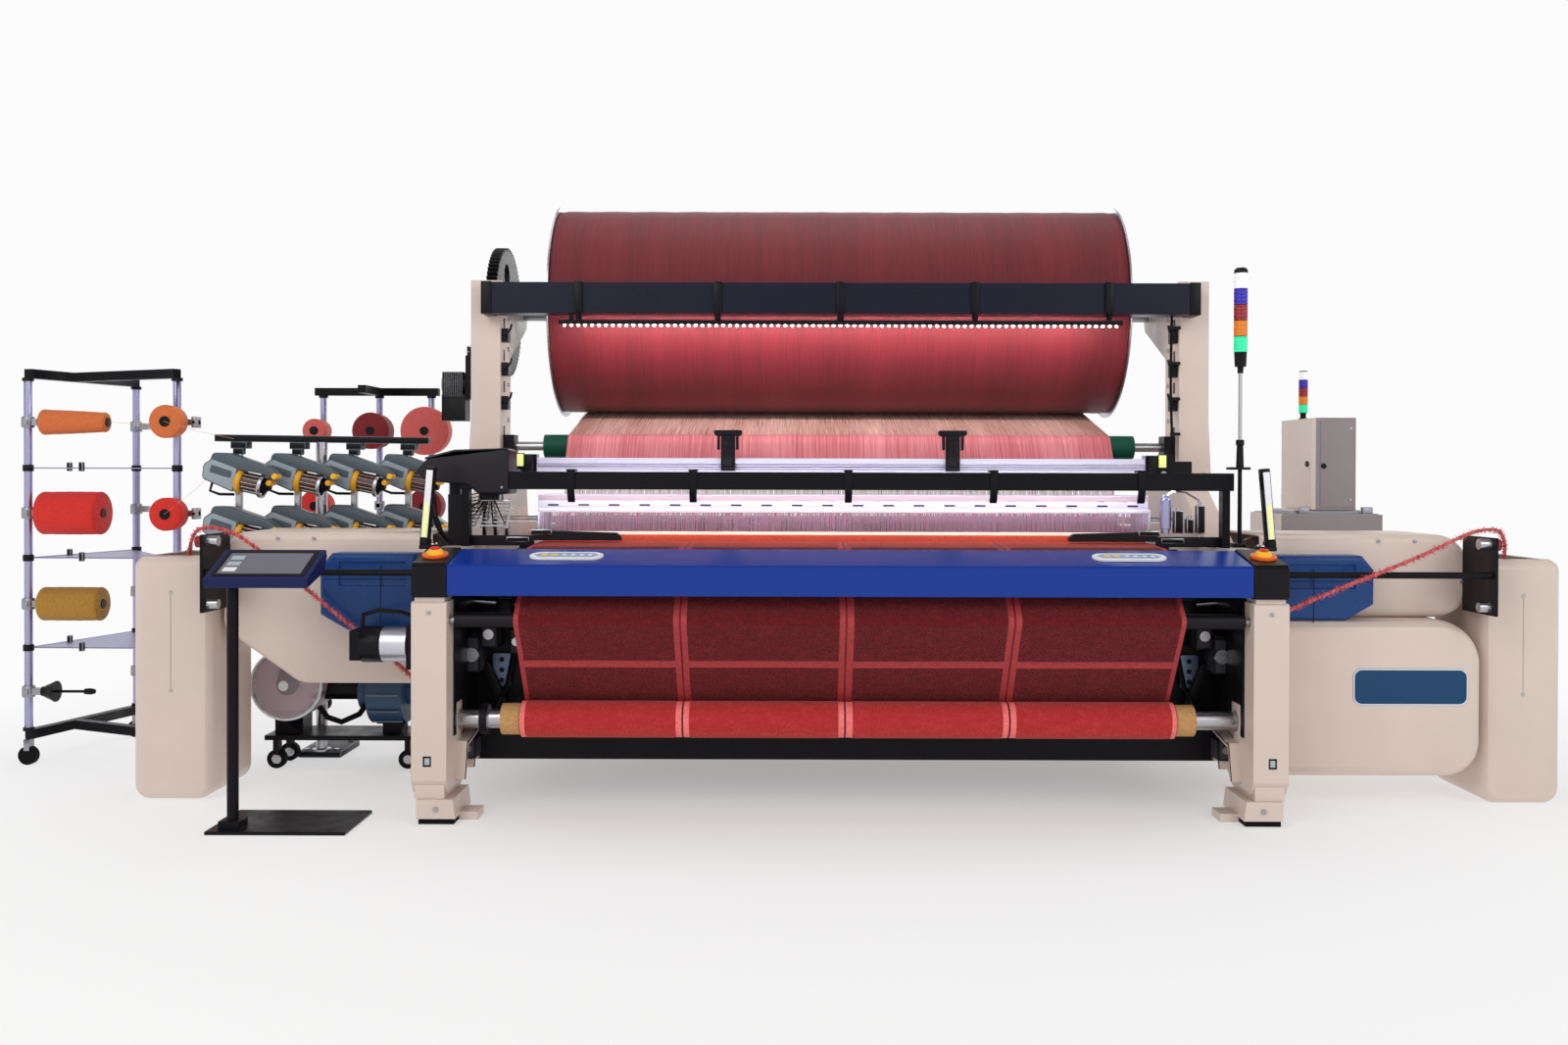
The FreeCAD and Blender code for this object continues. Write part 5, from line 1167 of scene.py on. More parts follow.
class LOOM_OT_healds(bpy.types.Operator):
    """Fill the heald frames with their wires and the reed with its dents"""
    bl_idname = "loom.healds"
    bl_label = "Healds and reed"

    def execute(self, context):
        yarn = context.scene.loom_yarn
        for k, place in enumerate(HEALD_PLACES):
            node_name = f"heald_frame_{k + 1}"
            dress(node_name, ["aluminium_pale"], ease=0.0015, body=node_name)

            def wire(shape, place=place):
                for low, high in ((0.75, 0.915), (0.935, 1.112)):
                    block(shape, (-0.0008, 0.0008), (place - 0.0003, place + 0.0003), (low, high))
                block(shape, (-0.0016, 0.0016), (place - 0.0005, place + 0.0005), (0.913, 0.937))

            pitch = yarn.heald_pitch
            count = int(2.39 / pitch) + 1
            wires = row(wire, (-pitch * (count - 1) / 2 + 0.003 * (k % 2), 0, 0), (pitch, 0, 0), count,
                "heald_wire", (0.0016, 0, 0))
            piece(f"heald_wires_{k + 1}", wires, ["heald_wire"], (), 30, body=node_name)
        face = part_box("heald_frame_1")[0][1]

        def rail_trim(shape):
            block(shape, (-1.248, 1.248), (face - 0.0008, face + 0.0004), (1.148, 1.17))
            for k in range(20):
                at = -1.1875 + 0.125 * k
                block(shape, (at - 0.022, at + 0.022), (face - 0.0009, face + 0.0004), (1.1262, 1.133), 1)

        piece("heald_rail_trim", rail_trim, ["rail_lilac", "black_plastic"],
            body="heald_frame_1")
        dress("sley", ["blackened_steel", "aluminium"], lambda at, out: 1 if at.z > 0.955 else 0,
            ease=0.002, body="sley")

        pitch = yarn.dent_pitch
        count = int(2.44 / pitch) + 1
        dents = row(dent, (-pitch * (count - 1) / 2, 0, 0), (pitch, 0, 0), count, "steel_upright")
        piece("reed_dents", dents, ["steel_upright"], ["reed"], 30, body="sley")
        piece("reed_baulks", baulks, ["cream_plastic", "aluminium_pale", "fell_red"],
            body="sley")

        rollers("pile_backrest_roller", ["green_rubber", "steel"], "pile_backrest_roller", 1.32)
        rollers("ground_backrest_roller", ["steel"] * 2, "ground_backrest_roller", 1.3)
        rollers("take_up_roller", ["black_rubber", "steel"], "take_up_roller", 1.25)
        rollers("cloth_guide_roller", ["blackened_steel", "steel"], "cloth_guide_roller", 1.42)
        dress("temples", ["blackened_steel"], ease=0.0015)
        piece("temple_rings", temple_parts, ["steel", "black_plastic", "silver_paint"])
        return {"FINISHED"}


# ---- towels
def border_at(x, wide):
    """0 on a towel's pile, 1 on its flat border, 2 between two borders, 3 at the cloth's own edge."""
    if abs(x) > WEAVE_HALF - 0.018:
        return 3
    for edge in TOWEL_EDGES:
        if abs(x - edge) < 0.0035:
            return 2
        if abs(x - edge) < 0.0035 + wide:
            return 1
    return 0


def ratchet(shape):
    for k in range(24):
        angle = 2 * math.pi * k / 24
        turn = Matrix.Translation((0, *CLOTH_ROLL)) @ Matrix.Rotation(angle, 4, "X")
        block(shape, (-1.364, -1.336), (0.0515, 0.0555), (-0.0035, 0.0035), 0, 0.001, turn)


class LOOM_OT_towels(bpy.types.Operator):
    """Lead the woven towels to the cloth roll and wind them on it"""
    bl_idname = "loom.towels"
    bl_label = "Towels"

    def execute(self, context):
        yarn = context.scene.loom_yarn
        line = led_over([(-0.262, 0.988, 0, 0), (-0.525, 0.912, 0.065, 1), (-0.77, 0.73, 0.028, 1),
            (*CLOTH_ROLL, 0.0685, -1)], 0.005, 0.16)
        path = evenly([Vector((0, y, z)) for y, z in line], 0.008)
        columns = [-WEAVE_HALF]
        while columns[-1] < WEAVE_HALF - 0.0005:
            now = columns[-1]
            fine = min(abs(now - edge) for edge in (*TOWEL_EDGES, -WEAVE_HALF, WEAVE_HALF)) < 0.032
            columns.append(min(now + (0.0035 if fine else 0.012), WEAVE_HALF))
        cross = {k for k, p in enumerate(path) if CROSS_BORDER[0] < p.z < CROSS_BORDER[1] and p.y < -0.68}
        dips = (0.0, -yarn.pile_height, -yarn.pile_height - 0.0015, -yarn.pile_height)

        def cloth(shape):
            grid = []
            for k, point in enumerate(path):
                ahead = (path[min(k + 1, len(path) - 1)] - path[max(k - 1, 0)]).normalized()
                out = Vector((0, ahead.z, -ahead.y))
                ring = []
                for x in columns:
                    kind = border_at(x, yarn.border_wide)
                    rise = dips[kind] if k not in cross or kind else -yarn.pile_height * 0.7
                    spot = Vector((x * 55, point.y * 55, point.z * 55))
                    wave = field.noise(spot) * 0.0005 if kind == 0 else 0
                    slack = 0.0012 * math.sin(x * 9.0 + 1.1) * min(1.0, min(k, len(path) - 1 - k) / 12)
                    ring.append(shape.verts.new((x, *(point + out * (0.0021 + rise + wave + slack * 0.5))[1:])))
                grid.append(ring)
            for k, (first, second) in enumerate(zip(grid, grid[1:])):
                for c in range(len(columns) - 1):
                    face = shape.faces.new((first[c], second[c], second[c + 1], first[c + 1]))
                    kind = border_at((columns[c] + columns[c + 1]) / 2, yarn.border_wide)
                    # The top run between the fell and the breast beam takes the brighter orange pile finish:
                    # painted light where the lamps fall on it from above.
                    pile = 3 if path[k].z > 0.9 and path[k].y > -0.5 else 0
                    face.material_index = 2 if kind == 2 else 1 if kind in (1, 3) or k in cross else pile

        # The web takes the darker copies of the towel finishes: painted shade.
        sheet = piece("towel_web", cloth, ["terry_pile", "terry_border", "seam_shadow", "terry_fell"],
            ["terry_cloth"], 60)
        round(length_of(path), 3)

        def roll(shape):
            profile = []
            for x in columns:
                kind = border_at(x, yarn.border_wide)
                profile.append((x, 0.0681 + (dips[kind] if kind != 3 else -0.001)))
            lathe(shape, "x", (0, *CLOTH_ROLL), [(-WEAVE_HALF, 0.0585)] + profile + [(WEAVE_HALF, 0.0585)], 0,
                96)
            for face in shape.faces:
                kind = border_at(face.calc_center_median().x, yarn.border_wide)
                face.material_index = 2 if kind == 2 else 1 if kind in (1, 3) else 0
            for side in SIDES:
                for radius in (0.0605, 0.0635, 0.0665):
                    lathe(shape, "x", (side * WEAVE_HALF, *CLOTH_ROLL), [(-0.001, radius - 0.001),
                        (0.001, radius), (-0.001, radius + 0.001)], 2)

        # The roll takes the lighter copies of the same towel finishes: painted light.
        piece("towel_roll", roll, ["terry_roll", "border_roll", "seam_shadow"], ["cloth_roll"], 60,
            body="cloth_roll")
        dress("cloth_roll_core", ["cardboard"], ease=0.001, body="cloth_roll")
        dress("cloth_roll_shaft", ["steel", "blackened_steel"],
            lambda at, out: 1 if at.x < -1.33 and (Vector((at.y, at.z)) - Vector(CLOTH_ROLL)).length > 0.037
            else 0, ease=0.001, body="cloth_roll")
        piece("cloth_roll_teeth", ratchet, ["blackened_steel"], body="cloth_roll")
        return {"FINISHED"}


# ---- controls, lamps and terminal
BEAM_RISE = 0.044 / 0.22                  # rise of the breast beam's top for each metre back
BEAM_SLOPE = math.atan(BEAM_RISE)
STOP_X = 1.51                             # the stop buttons' places across the beam


def on_slope(across, back, lift=0.0):
    """The place of something laid on the breast beam's sloping top."""
    return Matrix.Translation((across, -0.814 + back, 0.9342 + back * BEAM_RISE +
        lift)) @ Matrix.Rotation(BEAM_SLOPE, 4, "X")


def stadium(half_long, half_wide, steps=14):
    """The outline of a long oval."""
    points = []
    for side, start in ((1, -90), (-1, 90)):
        for k in range(steps + 1):
            angle = math.radians(start + 180 * k / steps)
            points.append((side * (half_long - half_wide) + half_wide * math.cos(angle),
                half_wide * math.sin(angle)))
    return points


def placed(shape, matrix, build):
    """Build something round the origin, then put it in its place."""
    before = set(shape.verts)
    build()
    bmesh.ops.transform(shape, matrix=matrix, verts=[vert for vert in shape.verts if vert not in before])


def signal_tower(shape, centre, low, tier, radius, colours, gap=0.003):
    """Stacked lamp lenses, each a ribbed drum with a dark joint under it; colours are material numbers."""
    x, y = centre
    for k, material in enumerate(colours):
        foot, top = low + k * tier, low + (k + 1) * tier
        turned(shape, "z", (x, y, 0), [(foot, radius * 0.9), (foot + gap, radius * 0.9)], 0, 24)
        profile = [(foot + gap, 0), (foot + gap, radius)]
        ribs = max(3, int((tier - 2 * gap) / 0.012))
        for r in range(ribs):
            up = foot + gap + (top - foot - gap) * (r + 0.5) / ribs
            profile += [(up - 0.003, radius), (up, radius - 0.0012), (up + 0.003, radius)]
        profile += [(top, radius), (top, 0)]
        lathe(shape, "z", (x, y, 0), profile, material, 28)


def keys(shape):
    for across in (-1.032, 1.023):
        def panel():
            slab(shape, "xy", stadium(0.112, 0.027), (0.008, 0.0088))
            for x, wide, colour in ((-0.08, 0.014, 1), (-0.045, 0.014, 1), (-0.008, 0.0085, 2),
                    (0.024, 0.0085, 2), (0.056, 0.0085, 2), (0.086, 0.0085, 2)):
                turned(shape, "z", (x, 0, 0), [(0.0085, wide), (0.0104, wide * 0.9)], colour, 20)
            for x in (-0.115, 0.115):
                turned(shape, "z", (x, 0, 0), [(0.0085, 0.003), (0.0098, 0.0024)], 3, 10)
        placed(shape, on_slope(across, 0.1), panel)
    for across in (-STOP_X, STOP_X):
        def ring():
            lathe(shape, "z", (0, 0, 0), [(0.009, 0.017), (0.009, 0.031), (0.018, 0.029), (0.026, 0.0205),
                (0.026, 0.017)], 4, 32, closed=True)
        placed(shape, on_slope(across, 0.09, 0.0065), ring)


def lights(shape):
    x, y = 1.556, -0.32
    turned(shape, "z", (x, y, 0), [(0.975, 0.022), (0.985, 0.022), (0.988, 0.0085), (1.395, 0.008),
        (1.398, 0.0075)], 0, 32)
    lathe(shape, "z", (x, y, 0), [(1.29, 0.0088), (1.29, 0.015), (1.375, 0.0125), (1.377, 0.016),
        (1.398, 0.016), (1.398, 0.0088)], 0, 24, closed=True)
    turned(shape, "z", (x, y, 0), [(1.396, 0.0072), (1.672, 0.0072)], 6, 20)
    turned(shape, "z", (x, y, 0), [(1.66, 0.011), (1.684, 0.012), (1.686, 0.022), (1.742, 0.0245)], 0, 32)
    block(shape, (1.51, 1.59), (-0.35, -0.29), (1.28, 1.2905), 0, 0.003)
    signal_tower(shape, (x, y), 1.74, 0.0625, 0.0265, (1, 2, 3, 4, 5))
    lathe(shape, "z", (x, y, 0), [(2.0525, 0), (2.0525, 0.0268), (2.066, 0.026), (2.074, 0.018), (2.076, 0)], 0,
        32)
    block(shape, (1.523, 1.5615), (-0.352, -0.3), (0.9755, 0.992), 0, 0.003)
    x, y = 2.3, 1.0
    turned(shape, "z", (x, y, 0), [(1.53, 0.0215), (1.534, 0.0215), (1.536, 0.014), (1.562, 0.014)], 0, 28)
    signal_tower(shape, (x, y), 1.56, 0.0404, 0.022, (1, 2, 3, 4, 5), 0.002)
    lathe(shape, "z", (x, y, 0), [(1.762, 0), (1.762, 0.0215), (1.767, 0.018), (1.768, 0)], 0, 28)


def curtains(shape):
    for side in SIDES:
        x = side * 1.59
        lean = (Matrix.Translation((x, 0, 1.007)) @ Matrix.Rotation(-side * math.radians(5), 4,
            "Y") @ Matrix.Translation((-x, 0, -1.007)))
        blocks(shape, [
            (x - 0.0165, x + 0.0165, -0.585, -0.545, 1.007, 1.285, 0, 0.004, lean),
            (x - 0.013, x + 0.013, -0.5872, -0.5845, 1.018, 1.273, 1, 0.001, lean),
            (x - 0.007, x + 0.007, -0.5882, -0.5865, 1.02, 1.15, 2, 0, lean),
            (side * 1.54, side * 1.605, -0.6, -0.53, 0.975, 0.992, 0, 0.004),
            (side * 1.572, side * 1.604, -0.596, -0.535, 0.99, 1.012, 0, 0.004)])
        for place in (-0.59, -0.54):
            turned(shape, "z", (side * 1.555, place, 0.992), [(0, 0.007), (0.005, 0.006)], 3, 12)


def cabinet_details(shape):
    # Material 0 is the darker front grey: painted shade.
    slab(shape, "xz", rounded((2.3, 2.455), (1.105, 1.515), 0.004, 3), (0.777, 0.7805), 0, 0.0008)
    for up in (1.14, 1.48):
        turned(shape, "y", (2.442, 0.777, up), [(0, 0.006), (-0.003, 0.005)], 2, 12)
    turned(shape, "y", (2.315, 0.777, 1.3), [(0, 0.013), (-0.006, 0.012), (-0.006, 0.004), (-0.004, 0.004)], 1,
        20)
    for k in range(8):
        block(shape, (2.18, 2.26), (0.757, 0.7605), (0.6 + 0.028 * k, 0.612 + 0.028 * k), 1, 0.001)
    block(shape, (2.13, 2.57), (0.762, 1.198), (1.069, 1.074), 0, 0.001)
    for x in (2.2, 2.5):
        block(shape, (x, x + 0.05), (0.775, 0.8), (1.07, 1.105), 3, 0.003)


class LOOM_OT_controls(bpy.types.Operator):
    """Make the key panels, stop buttons, light curtains, signal towers, terminal and cabinet"""
    bl_idname = "loom.controls"
    bl_label = "Controls and lamps"

    def execute(self, context):
        dress("operator_panels", ["white_plastic", "stop_orange"],
            lambda at, out: 1 if abs(at.x) > 1.3 else 0, ease=0.0015)
        for word in ("left", "right"):
            dress(f"estop_button_{word}", ["stop_red", "stop_yellow"],
                lambda at, out: 1 if (at - Vector((math.copysign(STOP_X, at.x), -0.724, 0.952))).length < 0.0215
                else 0, ease=0.002, body=f"estop_button_{word}")
        piece("key_fields_and_buttons", keys, ["key_blue", "key_yellow", "white_plastic", "steel",
            "stop_yellow"])
        piece("signal_towers", lights, ["black_plastic", "lamp_green", "lamp_orange", "lamp_red", "lamp_blue",
            "lamp_white", "steel"], ["signal_lights"])
        piece("light_curtains", curtains, ["black_plastic", "white_plastic", "curtain_lime", "steel"])
        dress("hmi_stand", ["black_coat", "steel"], lambda at, out: 1 if at.z > 0.8585 else 0,
            ease=0.002)
        dress("hmi_panel", ["terminal_blue", "black_plastic"],
            lambda at, out: 1 if at.z < 0.8665 and (Vector((at.x, at.y)) - Vector((-2.178,
            -0.9))).length < 0.031 else 0, ease=0.004, body="hmi_panel")
        screen_lean = math.atan2(0.09, 0.195)

        def screen(shape):
            def field():
                slab(shape, "xy", rounded((0.018, 0.342), (0.02, 0.196), 0.006, 4), (0.0, 0.0016))
                slab(shape, "xy", rounded((0.034, 0.326), (0.034, 0.182), 0.002, 3), (0.0012, 0.0021), 1)
                for row_at in range(3):
                    slab(shape, "xy", [(0.046, 0.05 + 0.042 * row_at), (0.092, 0.05 + 0.042 * row_at),
                        (0.092, 0.078 + 0.042 * row_at), (0.046, 0.078 + 0.042 * row_at)], (0.0018, 0.0024),
                        2 if row_at else 3)
            placed(shape, Matrix.Translation((-2.24, -1.0, 0.895)) @ Matrix.Rotation(screen_lean, 4, "X"),
                field)

        piece("terminal_screen", screen, ["black_plastic", "screen", "pale_grey_plastic", "white_plastic"],
            body="hmi_panel")
        # Faces turned to the front take the darker grey finish: painted shade on that side of the cabinet.
        dress("control_cabinet", ["cabinet_enamel", "zinc", "cabinet_front"],
            lambda at, out: 1 if 1.0705 < at.z < 1.0895 else 2 if out.y < -0.5 else 0, ease=0.003)
        dress("cabinet_door", ["cabinet_enamel", "black_plastic"],
            lambda at, out: 1 if at.x < 2.2589 or at.y > 1.17 and at.x < 2.262 else 0, ease=0.0015,
            body="cabinet_door")
        piece("cabinet_panel_and_lock", cabinet_details, ["cabinet_front", "black_plastic", "steel", "zinc"])
        return {"FINISHED"}


# ---- weft side: feeders, packages, creels, selector
FEEDER_X, FEEDER_STEP = -2.6, 0.205
FEEDER_ROWS = (1.01, 1.235)


def feeder(shape, x, y, up):
    """One weft feeder, tipped forwards: motor, long shell over it, ring, barred drum, outer ring and knobs."""
    def level():
        slab(shape, "xz", round_corners([(-0.086, -0.02, 0.018), (0.056, -0.05, 0.01), (0.056, 0.056, 0.006),
            (-0.06, 0.074, 0.02), (-0.092, 0.04, 0.02)], 5), (-0.042, 0.042), 6, 0.012)
        slab(shape, "xz", round_corners([(-0.07, 0.056, 0.01), (0.05, 0.046, 0.02), (0.15, 0.05, 0.02),
            (0.214, 0.04, 0.008), (0.222, 0.062, 0.01), (0.16, 0.088, 0.03), (0.0, 0.108, 0.04),
            (-0.066, 0.096, 0.02)], 6), (-0.0395, 0.0395), 0, 0.012)
        slab(shape, "xz", round_corners([(-0.06, 0.014, 0.006), (0.034, 0.006, 0.006), (0.034, 0.036, 0.006),
            (-0.056, 0.046, 0.006)], 4), (-0.0432, -0.041), 0, 0.001)
        turned(shape, "x", (0, 0, 0), [(0.052, 0.051), (0.056, 0.0545), (0.07, 0.0545), (0.075, 0.049)], 1, 32)
        turned(shape, "x", (0, 0, 0), [(0.074, 0.0405), (0.146, 0.0405), (0.148, 0.036)], 3, 32)
        for bar in range(14):
            angle = 2 * math.pi * bar / 14
            reach = (0.0418 * math.cos(angle), 0.0418 * math.sin(angle))
            sweep(shape, [(0.074, *reach), (0.147, *reach)], 0.0014, 5, 5)
        lathe(shape, "x", (0, 0, 0), [(0.15, 0.043), (0.15, 0.0525), (0.158, 0.0545), (0.165, 0.0525),
            (0.165, 0.043)], 5, 36, closed=True)
        turned(shape, "x", (0, 0, 0), [(0.147, 0.034), (0.172, 0.031), (0.178, 0.02), (0.192, 0.016)], 2, 24)
        for turn in range(4):
            angle = math.pi / 4 + math.pi * turn / 2
            sweep(shape, [(0.16, 0.046 * math.cos(angle), 0.046 * math.sin(angle)),
                (0.186, 0.014 * math.cos(angle), 0.014 * math.sin(angle))], 0.0022, 2, 5)
        for along, rise, knob in ((0.213, 0.052, 4), (0.196, 0.02, 1)):
            turned(shape, "y", (along, 0, rise), [(-0.05, 0.009), (-0.046, 0.0125), (0.012, 0.011)], knob, 16)
        sweep(shape, [(-0.05, -0.01, -0.03), (-0.052, -0.012, -0.066), (-0.01, -0.012, -0.072),
            (0.05, -0.008, -0.06)], 0.006, 2)
    tip = Matrix.Translation((x, y, up)) @ Matrix.Rotation(math.radians(12), 4, "Y")
    placed(shape, tip, level)


PACKAGES = (
    ("x", (-3.4297, 0.15, 1.472), 0.285, 0.055, 0.0425, "yarn_orange", True),
    ("x", (-3.4297, 0.15, 1.082), 0.265, 0.092, 0.092, "yarn_red", True),
    ("x", (-3.4297, 0.15, 0.692), 0.265, 0.072, 0.072, "yarn_gold", True),
    ("y", (-2.84, 0.01, 1.472), 0.0897, 0.07, 0.066, "yarn_orange", False),
    ("y", (-2.84, 0.01, 1.082), 0.0897, 0.07, 0.068, "yarn_red", False),
    ("y", (-2.84, 0.01, 0.692), 0.0897, 0.07, 0.068, "yarn_maroon", False),
    ("y", (-2.68, 1.33, 1.472), 0.1197, 0.062, 0.058, "yarn_rose", False),
    ("y", (-2.11, 1.33, 1.472), 0.1197, 0.125, 0.12, "yarn_rose", False),
    ("y", (-2.68, 1.33, 1.082), 0.1197, 0.08, 0.076, "yarn_red", False),
    ("y", (-2.11, 1.33, 1.082), 0.1197, 0.09, 0.086, "yarn_maroon", False),
    ("y", (-2.39, 1.33, 1.472), 0.1397, 0.095, 0.09, "yarn_maroon", False),
)


def package(shape, axis, start, long, near_r, far_r, material):
    """A wound package with soft shoulders on a black cone tube that shows at both ends."""
    ease = 0.008
    tube = 0.02
    profile = [(0.004, tube)]
    profile += [(0.004, near_r - ease), (0.005 + ease * 0.3, near_r - ease * 0.3), (0.004 + ease, near_r)]
    for k in range(1, 14):
        share = k / 14
        bulge = 0.0012 * math.sin(share * math.pi) + 0.0004 * math.sin(k * 2.3)
        profile.append((0.004 + ease + (long - 2 * ease - 0.008) * share, near_r + (far_r - near_r) * share +
            bulge - 0.001))
    profile += [(long - 0.004 - ease, far_r), (long - 0.005 - ease * 0.3, far_r - ease * 0.3),
        (long - 0.004, far_r - ease), (long - 0.004, tube)]
    lathe(shape, axis, start, profile, material, 56, closed=True)
    turned(shape, axis, start, [(0, tube + 0.002), (0.004, tube + 0.002), (0.006, tube),
        (long - 0.006, tube * 0.9), (long - 0.004, tube), (long, tube)], 0, 28)


CREEL_POSTS = ((-3.49, 0.15), (-3.32, 0.76), (-2.84, 0.13), (-2.68, 1.48), (-2.39, 1.5), (-2.11, 1.48))
CREEL_PLATES = (0.503, 0.889, 1.275)
CLAMP_SHARE = 0.36                        # where a plate's clamp sits along its rod
CREEL_LEVELS = (0.315, 0.692, 1.082, 1.472)


def creel_finish(at, out):
    """Material number of a creel's face: 0 black bar, 1 silver post, 2 zinc arm, 3 tyre."""
    near = min((Vector((at.x, at.y)) - Vector(post)).length for post in CREEL_POSTS)
    if at.z < 0.0815:
        return 3 if near < 0.045 else 0
    if at.z < 0.155 or at.z > 1.658:
        return 0 if at.z > 0.109 else 2
    return 1 if near < 0.0168 else 2


def feeders(shape):
    for k in range(4):
        x, y = FEEDER_X + FEEDER_STEP * k, 0.06 + 0.125 * k
        for up in FEEDER_ROWS:
            feeder(shape, x, y, up)
        blocks(shape, [
            (x + 0.022, x + 0.048, y + 0.0375, y + 0.06, 1.0, 1.362, 5, 0.002),
            (x, x + 0.07, y + 0.038, y + 0.1, 1.36, 1.39, 2, 0.004),
            (x + 0.012, x + 0.058, y + 0.034, y + 0.064, 1.335, 1.362, 2, 0.004)])
    slab(shape, "xy", [(-2.66, 0.083), (-1.88, 0.559), (-1.88, 0.604), (-2.66, 0.128)], (1.39, 1.42), 2, 0.003)
    turned(shape, "z", (-2.29, 0.329, 0), [(0.028, 0.04), (0.036, 0.04), (0.04, 0.0245), (1.392, 0.0245)], 5,
        32)
    block(shape, (-2.385, -2.195), (0.296, 0.56), (0.0, 0.03), 2, 0.005)
    for x in (-2.355, -2.225):
        for y in (0.33, 0.525):
            turned(shape, "z", (x, y, 0.029), [(0, 0.012), (0.007, 0.012)], 5, 6)


def packages(shape):
    for k, (axis, start, long, near_r, far_r, _, _) in enumerate(PACKAGES):
        package(shape, axis, start, long, near_r, far_r, k + 1)
    turned(shape, "x", (-3.4297, 0.15, 0.315), [(0, 0.021), (0.01, 0.021), (0.014, 0.026), (0.052, 0.042),
        (0.056, 0.045), (0.06, 0.045)], 0, 32)


def creel_fittings(shape):
    for k, (x, y) in enumerate(CREEL_POSTS):
        for up in CREEL_LEVELS if k < 3 else CREEL_LEVELS[2:]:
            turned(shape, "z", (x, y, 0), [(up - 0.024, 0.024), (up - 0.019, 0.0265), (up + 0.019, 0.0265),
                (up + 0.024, 0.024)], 0, 24)
            block(shape, (x - 0.012, x + 0.012), (y - 0.03, y - 0.016), (up - 0.012, up + 0.012), 0, 0.002)
        for up in CREEL_PLATES if k < 3 else (1.275,):
            turned(shape, "z", (x, y, 0), [(up - 0.014, 0.02), (up - 0.011, 0.022), (up + 0.011, 0.022),
                (up + 0.014, 0.02)], 1, 20)
        for up in (0.148, 1.65):
            turned(shape, "z", (x, y, 0), [(up - 0.002, 0.023), (up + 0.012, 0.023)], 1, 20)
    for up in CREEL_PLATES:
        for first, second in ((0, 1), (0, 2)):
            a, b = Vector((*CREEL_POSTS[first], up)), Vector((*CREEL_POSTS[second], up))
            sweep(shape, [a, b], 0.0028, 2, 6)
            mid = a.lerp(b, CLAMP_SHARE)
            block(shape, (mid.x - 0.009, mid.x + 0.009), (mid.y - 0.012, mid.y + 0.01),
                (up - 0.014, up + 0.026), 1, 0.003)
        slab(shape, "xy", [(-3.47, 0.165), (-2.86, 0.14), (-3.31, 0.735)], (up - 0.0018, up - 0.0006), 2)
    for start, aim in (((-3.1447, 0.15, 1.472), (-2.86, 0.1, 1.47)), ((-2.84, 0.008, 1.472),
            (-2.56, 0.04, 1.4)), ((-2.84, 0.008, 1.082), (-2.6, 0.05, 1.3))):
        sweep(shape, [start, Vector(start).lerp(Vector(aim), 0.5) + Vector((0, 0, -0.006)), aim], 0.0009, 3, 4)
    for up in CREEL_LEVELS[1:]:
        lathe(shape, "x", (-3.4297, 0.15, up), [(-0.03, 0), (-0.03, 0.012), (-0.018, 0.012), (-0.005, 0.034),
            (0.004, 0.036), (0.006, 0)], 1, 24)
    for up in CREEL_LEVELS[1:]:
        blocks(shape, [
            (-2.822, -2.745, 0.118, 0.142, up - 0.013, up + 0.013, 0, 0.003),
            (-2.765, -2.745, 0.095, 0.15, up - 0.024, up + 0.024, 0, 0.003)])
        turned(shape, "y", (-2.755, 0.092, up), [(0, 0.006), (0.004, 0.007)], 1, 12)
    lathe(shape, "x", (-3.3697, 0.15, 0.315), [(0, 0), (0, 0.006), (0.12, 0.006), (0.122, 0.012),
        (0.145, 0.014), (0.165, 0.01), (0.17, 0)], 1, 16)


def visor(shape):
    slab(shape, "xz", round_corners([(-1.674, 1.266, 0.012), (-1.628, 1.316, 0.05), (-1.516, 1.35, 0.09),
        (-1.31, 1.357, 0.02), (-1.31, 1.178, 0.01), (-1.43, 1.18, 0.03), (-1.47, 1.214, 0.03),
        (-1.632, 1.228, 0.03)], 7), (-0.408, -0.232), 0, 0.014)
    slab(shape, "xz", round_corners([(-1.64, 1.3185, 0.004), (-1.52, 1.3505, 0.05), (-1.312, 1.3575, 0.004),
        (-1.312, 1.352, 0.002), (-1.52, 1.344, 0.05), (-1.632, 1.313, 0.003)], 6), (-0.4095, -0.3955), 1, 0.001)


